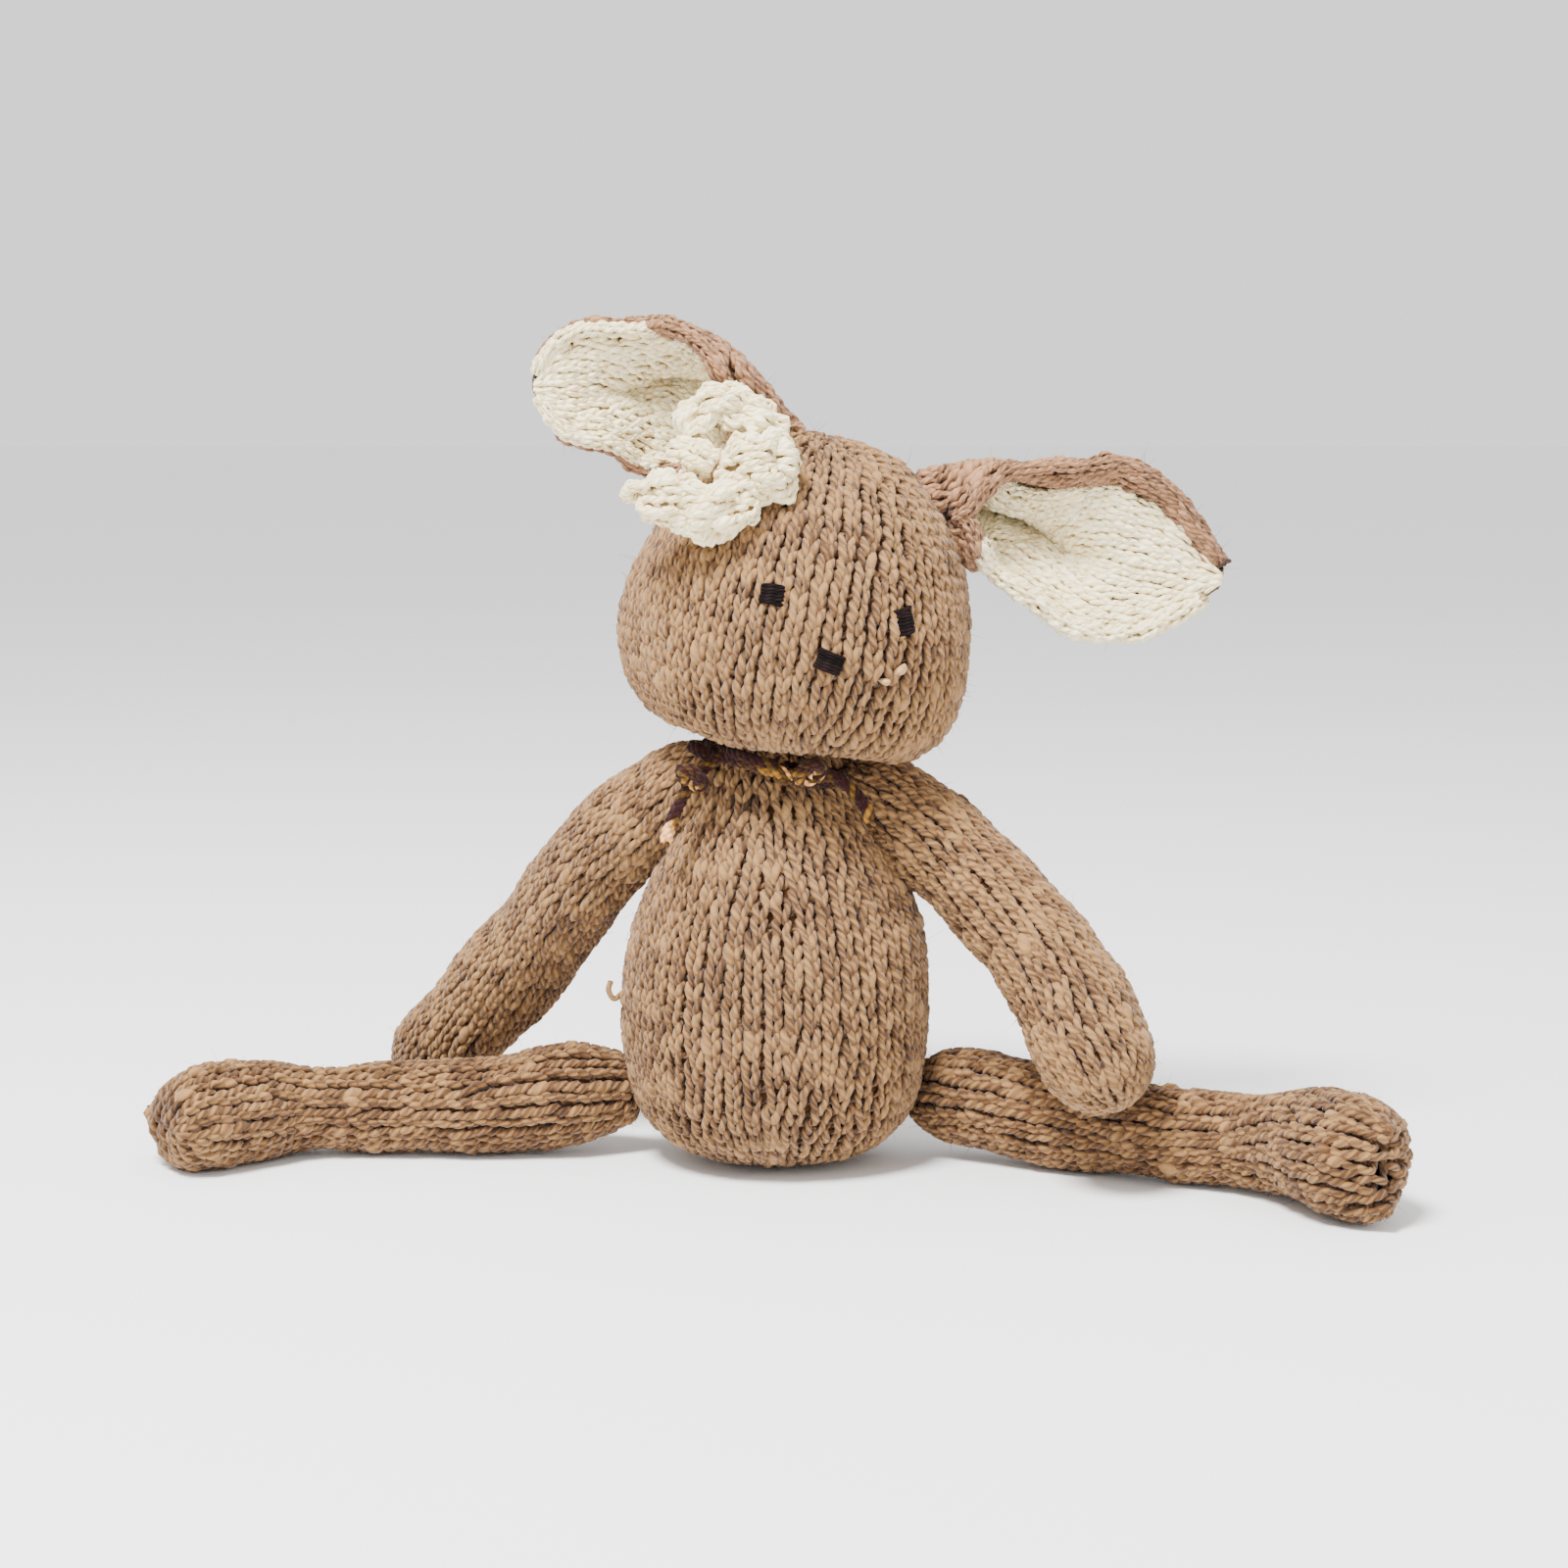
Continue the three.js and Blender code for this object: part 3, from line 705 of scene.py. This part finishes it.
make_limb("arm_left", ARM_LEFT_ROUTE, ARM_LEFT_OUTLINE, 21, "shoulder_left", **ARM_KNIT)
make_limb("arm_right", ARM_RIGHT_ROUTE, ARM_RIGHT_OUTLINE, 22, "shoulder_right", **ARM_KNIT)
make_limb("leg_left", LEG_LEFT_ROUTE, LEG_LEFT_OUTLINE, 23, "hip_left_core", **LEG_KNIT)
make_limb("leg_right", LEG_RIGHT_ROUTE, LEG_RIGHT_OUTLINE, 24, "hip_right_core", **LEG_KNIT)

# ---------- ears ----------

# width of a stitch, height of a row and half thickness of the yarn
LINING_KNIT = (3.7, 2.9, 0.86)
RIM_KNIT = (3.2, 3.2, 0.95)
OUTER_KNIT = (4.3, 3.2, 1.0)
EDGE_YARNS = {"ear_tan_knit": ear_yarn, "cream_knit": cream_yarn}

# The ribs are the ears' middle lines. The sections' rows are share of the length, half width, half depth,
# how far round the ear curls and how far it is turned forward (degrees).
EAR_LEFT_RIB = [
    (-0.5, 8, 193), (-14, 6, 203.5), (-27, 5, 209), (-42, 3, 212.5), (-55.5, 1, 213.5), (-65, 0, 213.5),
]
EAR_LEFT_SECTIONS = [
    (0, 10, 5, 365, 25), (0.12, 13, 6.5, 345, 30), (0.25, 17, 9, 265, 32), (0.42, 20, 10, 175, 24),
    (0.6, 18.6, 9, 128, 12), (0.78, 17.8, 9, 105, 6), (0.9, 14, 8, 92, 2), (1, 6, 4, 60, 0),
]
EAR_RIGHT_RIB = [(39, 8, 178.5), (58, 9, 178.4), (80, 6, 171.5), (101, 4, 166), (122.5, 3, 161.5)]
EAR_RIGHT_SECTIONS = [
    (0, 10, 5.5, 372, 4), (0.12, 10.5, 6, 372, 4), (0.21, 12.5, 7.5, 320, 6), (0.30, 14, 10, 205, 8),
    (0.44, 18.5, 12, 160, 8), (0.62, 26, 11.5, 128, 6), (0.80, 24.5, 8.5, 102, 4),
    (0.92, 16, 7, 82, 0), (1, 6, 4, 62, 0),
]


def ear_grid(rib, sections, crease):
    """The ear's sheet: a section that opens from a folded base to a shallow dish, towards the camera.

    crease is the ear's inner fold: where along the ear it is deepest, how far along it reaches, its depth,
    and where across the ear it lies and drifts to.
    """
    stations = 150
    line = smooth(rib, stations)
    tangent = unit(np.gradient(line, axis=0))
    front = unit(FORWARD - tangent * (tangent @ FORWARD)[:, None])
    up = np.cross(tangent, front)
    up *= np.sign(up[:, 2])[:, None]
    shape = smooth(sections, 300)
    half, deep, curl, roll = read(np.linspace(0, 1, stations), shape[:, 0], shape[:, 1:]).T
    angle = np.radians(curl)[:, None] * np.linspace(-0.5, 0.5, 61)[None]
    across = half[:, None] * np.sin(angle)
    forward = -deep[:, None] * np.cos(angle)
    deepest, reach, fold, place, drift = crease
    share = np.linspace(0, 1, stations)[:, None]
    across_share = np.linspace(-1, 1, 61)[None]
    valley = place + drift * (share - 0.2)
    forward -= fold * np.exp(-(((share - deepest) / reach) ** 2) - ((across_share - valley) / 0.17) ** 2)
    turned = np.radians(roll)[:, None]
    high = across * np.cos(turned) - forward * np.sin(turned)
    out = forward * np.cos(turned) + across * np.sin(turned) + deep[:, None]
    return line[:, None] + up[:, None] * high[..., None] + front[:, None] * out[..., None]


def edge_roll(name, cloth, turn, material, seed, first, last, thick, lift):
    """The rolled knitted edge along one side of a sheet, between two shares of its length."""
    downs = np.linspace(first, last, 14) * cloth.length
    route, _ = cloth.place(np.full(14, float(turn)), downs, lift)
    length = run_length(smooth(route, 300))[-1]
    swell = [(0, 0), (0.6, 0.7), (4, 1), (length / 2, 1), (length - 4, 0.9), (length - 0.6, 0.6), (length, 0)]
    outline = [(along, share * thick, share * thick) for along, share in swell]
    skin = Skin(route, outline, up=(0, -1, 0.2), lump=0.3, lump_length=8, seed=seed)
    return knitted(name, skin, material, seed, wale=3.4, row=3.0, yarn=0.8, back=0.75, least=4)


def make_ear(side, rib, sections, crease, seed, lining_high, edges):
    """An ear: a cream lining and a tan back over one folded sheet, and its rolled edges.

    edges are rows of turn, slot, first and last share of the length, thickness and lift.
    """
    grid = ear_grid(rib, sections, crease)
    facing = 1 if side == "left" else -1
    lined = Cloth(grid, sign=facing, seed=seed)
    outer = Cloth(grid, sign=-facing, seed=seed)
    outer.lump = -lined.lump
    top = [(0, 0.99), (1, 0.99)]
    bottom = [(0, -0.99), (1, -0.99)]
    rim_low = [(share, value - 0.02) for share, value in lining_high]
    name = f"ear_{side}"
    lining = knitted_cloth(
        f"{name}_lining_yarn", lined, cream_yarn, seed, *LINING_KNIT, bottom, lining_high, -1.3
    )
    rim = knitted_cloth(f"{name}_rim_yarn", lined, ear_yarn, seed + 2, *RIM_KNIT, rim_low, top, -1.3)
    back = knitted_cloth(f"{name}_outer_yarn", outer, ear_yarn, seed + 1, *OUTER_KNIT, bottom, top, -1.4)
    # A dark cream sheet under the lining: painted shade seen between its stitches.
    inside = sheet(f"{name}_inside", lined, cream_backing_shade, margin=0.01)
    rolls = []
    for number, (turn, slot, *shape) in enumerate(edges):
        edge, yarn = f"{name}_edge_{number + 1}", EDGE_YARNS[slot]
        roll = edge_roll(edge, lined, turn, yarn, seed + 3 + number, *shape)
        rolls.append(roll)
    for piece in (lining, rim, back, inside, *rolls):
        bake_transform(piece)
    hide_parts(f"{name}_lining")
    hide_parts(f"{name}_outer", f"{name}_stitches")


make_ear(
    "left", EAR_LEFT_RIB, EAR_LEFT_SECTIONS, (0.42, 0.17, 13, 0.1, -0.6), 31,
    [(0, 0.6), (0.3, 0.70), (0.5, 0.86), (0.62, 0.99), (1, 0.99)],
    [
        (1, "ear_tan_knit", 0.08, 0.66, 2.1, 0),
        (1, "ear_tan_knit", 0.60, 0.99, 1.3, -1.6),
        (1, "cream_knit", 0.62, 1.0, 1.7, 0.6),
        (0, "cream_knit", 0.45, 1.0, 1.7, 0.8),
        (0, "ear_tan_knit", 0.15, 0.92, 1.7, -1.5),
    ],
)
make_ear(
    "right", EAR_RIGHT_RIB, EAR_RIGHT_SECTIONS, (0.34, 0.20, 18, 0.0, -0.5), 33,
    [(0, 0.72), (0.3, 0.76), (0.42, 0.80), (0.6, 0.83), (0.8, 0.81), (0.92, 0.78), (1, 0.6)],
    [
        (1, "ear_tan_knit", 0.10, 1.0, 1.7, -0.8),
        (0, "cream_knit", 0.22, 0.97, 2.3, 0.9),
        (0, "ear_tan_knit", 0.10, 0.26, 1.8, -1.0),
    ],
)

# ---------- flower ----------

FLOWER_HEART = np.array([-13.0, -32.0, 191.5])
# A lobe is a folded-over piece of knitting: how many small loops of yarn stand up out of it, its route,
# and rows of distance along, half depth and half height.
PETALS = {
    "top": (
        1,
        [(-23, -24, 198.5), (-20, -26, 205.5), (-12, -27.5, 208), (-3, -27.5, 204), (1, -27, 198)],
        [
            (0, 0, 0), (1, 3, 3), (4, 4.6, 5), (12, 5, 5.6), (22, 5, 5.8), (29, 4.2, 5), (33, 2.8, 3),
            (34, 0, 0),
        ],
    ),
    "right": (
        5,
        [(-14, -32, 190.5), (-4, -34.5, 192), (8, -30, 191)],
        [(0, 0, 0), (0.5, 2.5, 4), (4, 4.5, 7.6), (11, 5.4, 9.2), (17, 4.8, 8.8), (21, 3.2, 6.4), (23, 0, 0)],
    ),
    "left_middle": (
        2,
        [(-14, -31, 191.5), (-20, -31, 195), (-26, -27, 196.5)],
        [(0, 0, 0), (0.5, 2.5, 3), (4, 4, 5), (9, 4, 5.2), (12.5, 2.5, 3.4), (14, 0, 0)],
    ),
    "lower": (
        8,
        [(-27, -36, 180), (-16, -39, 181), (-4, -35.5, 184.5)],
        [(0, 0, 0), (1, 3, 4), (5, 4.8, 6.6), (12, 5.2, 7.6), (19, 4.6, 7), (23.5, 3, 4.6), (25, 0, 0)],
    ),
    "left": (
        5,
        [(-20, -35, 184), (-29, -37, 184.5), (-38.5, -33, 186)],
        [(0, 0, 0), (0.5, 2.5, 4), (4, 4, 6.8), (11, 4, 7.2), (15, 3, 5), (19, 1.8, 2.4), (21, 0, 0)],
    ),
}
PETAL_KNIT = {"wale": 3.9, "row": 3.0, "yarn": 0.92}


def make_flower():
    for seed, (name, (loops, route, outline)) in enumerate(PETALS.items(), start=41):
        skin = Skin(route, outline, lump=1.5, lump_length=5.5, seed=seed)
        piece = knitted(f"flower_petal_{name}_yarn", skin, cream_yarn, seed, frill=loops, **PETAL_KNIT)
        # The dark cloth inside the lobe: painted shade seen between its stitches.
        inside = backing(f"flower_petal_{name}_inside", skin, cream_backing_shade, depth=2.0, around=24)
        place_piece(piece, "head", "cream_knit", f"flower_petal_{name}")
        place_piece(inside, "head", "cream_knit")


make_flower()


# ---------- loose and sewn yarn ----------


def make_heart():
    """The tan stitches in the flower's middle."""
    yarns = Yarns()
    for turn in range(4):
        angle = TURN * turn / 4 + 0.4
        reach = np.array([math.cos(angle), 0.2, math.sin(angle)]) * 3.2
        points = [FLOWER_HEART - reach, FLOWER_HEART + (0, -1.5, 0.4), FLOWER_HEART + reach]
        yarns.add(smooth(points, 36), 0.9, FORWARD, 0.6)
    place_piece(yarns.mesh("flower_heart_yarn", ear_yarn), "head", "sewing_yarn", "flower_centre")


make_heart()


def sewn_ring(name, centre, direction, radius, yarn, body):
    """Overcast stitches round a joint, in one closed yarn."""
    way = unit(np.asarray(direction, float))
    side = unit(np.cross(way, (0.3, 0.9, 0.2)))
    other = np.cross(way, side)
    angle = np.linspace(0, TURN, 97)[:-1]
    lean = 0.35 * yarn * np.sin(8 * angle)[:, None]
    reach = (radius + 0.25 * yarn * np.cos(8 * angle))[:, None]
    spoke = side * np.cos(angle)[:, None] + other * np.sin(angle)[:, None]
    tone = 0.5 + 0.1 * np.sin(5 * angle)
    yarns = Yarns()
    yarns.add(centre + spoke * reach + way * lean, yarn, spoke, tone, closed=True)
    place_piece(yarns.mesh(f"{name}_yarn", tan_yarn), body, "sewing_yarn", name)


def wound_ball(name, centre, radius, yarn, turns, material, body, slot):
    """A ball of yarn or fibre wound round and round from one end to the other."""
    share = np.linspace(0.04, 0.96, 24 * turns)
    polar = math.pi * share
    spin = TURN * turns * share
    spoke = np.column_stack([np.sin(polar) * np.cos(spin), np.sin(polar) * np.sin(spin), np.cos(polar)])
    tone = 0.5 + 0.08 * np.sin(7 * spin)
    yarns = Yarns()
    yarns.add(centre + spoke * (radius - yarn), yarn, spoke, tone)
    place_piece(yarns.mesh(f"{name}_yarn", material), body, slot, name)


def make_joints():
    """The sewing yarn and the gathered cloth at each place where two soft parts meet."""
    sewn_ring("neck_seam", NECK, (0, 0, 1), 10.2, 0.9, "neck_ring")
    wound_ball("neck_filling", NECK, 7.6, 1.2, 6, cream_yarn, "neck_core", "toy_filling")
    limbs = {
        "shoulder_left": ("arm_left_raise", ARM_LEFT_ROUTE, "shoulder_left"),
        "shoulder_right": ("arm_right_raise", ARM_RIGHT_ROUTE, "shoulder_right"),
        "hip_left": ("leg_left_twist", LEG_LEFT_ROUTE, "hip_left_core"),
        "hip_right": ("leg_right_twist", LEG_RIGHT_ROUTE, "hip_right_core"),
    }
    for name, (joint, route, core) in limbs.items():
        centre = joint_place(joint)
        sewn_ring(f"{name}_stitches", centre, np.subtract(route[1], centre), 4.6, 0.8, name)
        wound_ball(f"{name}_gather", centre, 3.0, 0.6, 5, tan_yarn, core, "sewing_yarn")


make_joints()

# x, z, how long and how tall, tilt (radians) and how many threads
FACE = {
    "eye_left": (0.2, 159.6, 5.9, 5.2, -0.12, 6),
    "eye_right": (34.2, 152.6, 4.9, 7.0, 0.15, 8),
    "nose": (15.0, 142.3, 6.6, 5.2, -0.42, 6),
}


def make_face():
    for seed, (name, (x, z, wide, tall, tilt, threads)) in enumerate(FACE.items()):
        rng = np.random.default_rng(60 + seed)
        point, outward = head_skin.in_front(x, z)
        level = unit(np.cross((0, 0, 1), outward)) * -1
        level = level * np.sign(level[0])
        rise = np.cross(level, outward)
        rise *= np.sign(rise[2])
        along = level * math.cos(tilt) + rise * math.sin(tilt)
        over = rise * math.cos(tilt) - level * math.sin(tilt)
        yarns = Yarns()
        pitch = tall / threads
        for number in range(threads):
            middle = point + over * (number - (threads - 1) / 2) * pitch
            reach = wide / 2 * rng.uniform(0.92, 1.06)
            slip = over * rng.uniform(-0.25, 0.25)
            points = [
                middle - along * reach - outward * 3.0,
                middle - along * reach * 0.95 - outward * 0.6 - slip,
                middle + outward * 0.5,
                middle + along * reach * 0.95 - outward * 0.6 + slip,
                middle + along * reach - outward * 3.0,
            ]
            yarns.add(smooth(points, 40), pitch * 0.68, outward, rng.uniform(0.2, 0.6))
        place_piece(yarns.mesh(f"{name}_thread", dark_yarn), "head", "dark_thread", name)


make_face()


def make_slubs():
    """Two pale, fat lumps of the yarn on the right cheek."""
    yarns = Yarns()
    rng = np.random.default_rng(91)
    for x, z, long, thick, tilt in ((33, 139.5, 4.6, 1.25, 0.6), (29.3, 136.8, 3.0, 0.95, -0.2)):
        point, outward = head_skin.in_front(x, z)
        along = unit(np.array([math.cos(tilt), 0, math.sin(tilt)]))
        half, sunk = along * long / 2, point - outward * 1.6
        line = smooth([sunk - half, point + outward * 0.2, sunk + half], 24)
        swell = np.sin(math.pi * np.linspace(0.08, 0.92, 24))
        yarns.add(line, thick * swell, outward, 0.5 + 0.1 * rng.normal(size=24))
    place_piece(yarns.mesh("head_slubs", pale_yarn), "head", "tan_knit")


make_slubs()


def make_stray_ends():
    """A short end of yarn that works out of the body's left side."""
    yarns = Yarns()
    root = np.array([-41.5, -6.0, 48.0])
    points = [root, root + (-2.5, -2, -1.5), root + (-4, -2.5, 1), root + (-3.4, -2.5, 3.5)]
    yarns.add(smooth(points, 48), 0.8, FORWARD, 0.7)
    place_piece(yarns.mesh("body_stray_end", tan_yarn), "torso", "tan_knit")


make_stray_ends()

# ---------- the neck tie ----------

TIE_PLIES = 4
TIE_PLY = 0.92  # half thickness of one ply
TIE_TWIST = 7.5  # mm of yarn for one turn of its plies


def tie_yarn(name, points, tones, count, seed):
    """Plies twisted round each other along the points: the piece, and its middle line."""
    rng = np.random.default_rng(seed)
    line = smooth(points, count)
    run = run_length(line)
    tangent = unit(np.gradient(line, axis=0))
    side = unit(np.cross(tangent, (0.13, 0.11, 1.0)))
    other = np.cross(tangent, side)
    turns = max(1, round(run[-1] / TIE_TWIST))
    yarns = Yarns(sides=6)
    for ply in range(TIE_PLIES):
        angle = TURN * (turns * run / run[-1] + ply / TIE_PLIES)
        offset = side * np.cos(angle)[:, None] + other * np.sin(angle)[:, None]
        shares, values = zip(*tones[ply % len(tones)])
        tone = np.interp(run / run[-1], shares, values) + 0.05 * random_run(run, 4, rng)
        radii = TIE_PLY * (1 + 0.12 * random_run(run, 3, rng))
        yarns.add(line + offset * TIE_PLY * 0.98, np.clip(radii, 0.5, 1.1), offset, tone)
    return yarns.mesh(name, tie_material), line


TAIL_LEFT_ROUTE = [
    (-10.5, -18.8, 116.5), (-14.5, -20.2, 114.6), (-18.6, -21, 112), (-21.5, -21.4, 109), (-24, -22.4, 105),
    (-26, -23.6, 101), (-27.6, -24.8, 97), (-29, -26, 92.5),
]
TAIL_RIGHT_ROUTE = [
    (1.5, -21.6, 112.4), (5.5, -22.8, 112), (10, -23.4, 111.2), (14.5, -23.8, 110.6), (18.5, -23.8, 108.4),
    (21.8, -24, 105.4), (24.4, -24.6, 102), (26, -25.4, 98.4),
]
WRAP_RADIUS = 18.4
WRAP_DROP = 5.2
WRAP_FORWARD = 1.42  # how much further the wrap stands out under the chin than at the sides
WRAP_END_ROUTE = [
    (-22.5, -15, 117.2), (-17, -18.5, 115.2), (-10, -22, 114.4), (-3, -24.5, 113.2), (4, -26, 111.6),
]
KNOTS = {"left": ((-22.5, -23.0, 109.5), 0.5), "right": ((10.0, -27.0, 111.5), -0.3)}  # centre and tilt
# The plies' tones along the yarn: rows of share of the length and tone.
DARK, OLIVE, GOLD, PALE = -0.05, 0.30, 0.50, 0.84
WRAP_TONES = [
    [
        (0, OLIVE), (0.08, DARK), (0.2, OLIVE), (0.42, DARK), (0.5, GOLD), (0.56, OLIVE),
        (0.7, DARK), (1, DARK),
    ],
    [
        (0, DARK), (0.1, OLIVE), (0.3, OLIVE), (0.45, DARK), (0.50, PALE), (0.54, DARK),
        (0.9, DARK), (1, OLIVE),
    ],
    [(0, OLIVE), (0.15, DARK), (0.4, DARK), (0.5, OLIVE), (0.7, OLIVE), (0.85, DARK), (1, DARK)],
]
WRAP_END_TONES = [
    [(0, DARK), (1, DARK)],
    [(0, DARK), (0.5, OLIVE), (0.8, GOLD), (1, OLIVE)],
    [(0, DARK), (0.6, DARK), (1, PALE)],
]
KNOT_TONES = [
    [(0, DARK), (0.4, DARK), (0.5, PALE), (0.6, DARK), (1, PALE)],
    [(0, OLIVE), (0.5, DARK), (1, OLIVE)],
]
TAIL_LEFT_TONES = [
    [(0, OLIVE), (0.3, DARK), (0.45, PALE), (0.55, DARK), (0.8, DARK), (0.9, PALE), (1, PALE)],
    [(0, DARK), (0.4, DARK), (0.6, OLIVE), (0.8, OLIVE), (0.88, PALE), (1, PALE)],
    [(0, GOLD), (0.3, OLIVE), (0.6, DARK), (0.84, DARK), (0.92, PALE), (1, PALE)],
]
TAIL_RIGHT_TONES = [
    [(0, PALE), (0.15, DARK), (0.5, DARK), (0.8, DARK), (1, OLIVE)],
    [(0, OLIVE), (0.2, DARK), (0.6, OLIVE), (1, GOLD)],
    [(0, DARK), (0.5, DARK), (1, DARK)],
]


def make_wrap():
    """The yarn wound twice round the neck, and one short end of it."""
    middle = NECK - HEAD_AXIS * WRAP_DROP
    level = np.array([math.cos(HEAD_LEAN), 0, -math.sin(HEAD_LEAN)])
    back = np.array([0.0, 1.0, 0.0])
    turns, steps = 2, 40
    points = []
    for step in range(turns * steps + 1):
        angle = TURN * step / steps - TURN / 4
        share = step / (turns * steps)
        radius = WRAP_RADIUS + 0.7 * math.sin(3 * angle + 1) + 1.0 * share
        forward = WRAP_FORWARD if math.sin(angle) < 0 else 1.0
        height = 3.0 * (share - 0.5) + 0.9 * math.sin(2 * angle)
        round_neck = level * math.cos(angle) + back * forward * math.sin(angle)
        points.append(middle + round_neck * radius + HEAD_AXIS * height)
    wrap, _ = tie_yarn("neck_yarn_wrap_plies", points, WRAP_TONES, count=420, seed=71)
    place_piece(wrap, "torso", "variegated_yarn", "neck_yarn_wrap")
    end, _ = tie_yarn("neck_yarn_wrap_end", WRAP_END_ROUTE, WRAP_END_TONES, count=120, seed=72)
    place_piece(end, "torso", "variegated_yarn")


def make_knot(side, centre, tilt):
    """A small coil of the tie's yarn, nearly two turns, leaning by the tilt (radians)."""
    coil = []
    for step in range(27):
        angle = TURN * step / 14
        out = 3.0 + 0.12 * math.sin(5 * angle)
        across, up = out * math.cos(angle), out * math.sin(angle)
        x = across * math.cos(tilt) + 0.10 * step * math.sin(tilt)
        y = -0.8 * up - 0.06 * step
        z = 0.75 * up - across * math.sin(tilt)
        coil.append(np.add(centre, (x, y, z)))
    knot, _ = tie_yarn(f"neck_yarn_knot_{side}", coil, KNOT_TONES, count=160, seed=80)
    place_piece(knot, "torso", "variegated_yarn")


def make_tail(side, route, tones):
    """One hanging end of the tie."""
    tail, line = tie_yarn(f"neck_yarn_tail_{side}_plies", route, tones, count=220, seed=73)
    place_piece(tail, "torso", "variegated_yarn", f"neck_yarn_tail_{side}")


make_wrap()
for side, (centre, tilt) in KNOTS.items():
    make_knot(side, centre, tilt)
make_tail("left", TAIL_LEFT_ROUTE, TAIL_LEFT_TONES)
make_tail("right", TAIL_RIGHT_ROUTE, TAIL_RIGHT_TONES)

# ---------- camera, floor and light ----------

CAMERA_TARGET = Vector((2.7, 0, 105)) * MM
CAMERA_DISTANCE = 800 * MM
CAMERA_HEIGHT = math.radians(7)


def make_camera():
    data = bpy.data.cameras.new("camera")
    data.sensor_width = 36
    data.lens = 66.7
    camera = bpy.data.objects.new("camera", data)
    back = Vector((0, -math.cos(CAMERA_HEIGHT), math.sin(CAMERA_HEIGHT)))
    camera.location = CAMERA_TARGET + back * CAMERA_DISTANCE
    camera.rotation_euler = (-back).to_track_quat("-Z", "Y").to_euler()
    bpy.context.scene.collection.objects.link(camera)
    bpy.context.scene.camera = camera


def area_light(name, place, size, power):
    data = bpy.data.lights.new(name, "AREA")
    data.shape = "DISK"
    data.size = size
    data.energy = power
    light = bpy.data.objects.new(name, data)
    light.location = place
    light.rotation_euler = (Vector((0, 0, 0.1)) - Vector(place)).to_track_quat("-Z", "Y").to_euler()
    bpy.context.scene.collection.objects.link(light)


def make_room():
    pale, _, shader = rough_material("pale_floor", 0.7, 0.5)
    shader.inputs["Base Color"].default_value = (0.95, 0.95, 0.95, 1)
    half = 30.0
    corners = np.array([(-half, -half, 0), (half, -half, 0), (half, half, 0), (-half, half, 0)]) / MM
    floor = new_mesh("floor", corners, np.array([[0, 1, 2, 3]]), pale)
    world = bpy.data.worlds.new("studio")
    world.use_nodes = True
    world.node_tree.nodes["Background"].inputs["Color"].default_value = (1, 1, 1, 1)
    world.node_tree.nodes["Background"].inputs["Strength"].default_value = 1.35
    bpy.context.scene.world = world
    area_light("key", (-0.35, -0.6, 1.3), 0.45, 62)
    area_light("fill", (0.9, -0.7, 0.7), 0.8, 3)


make_camera()
make_room()
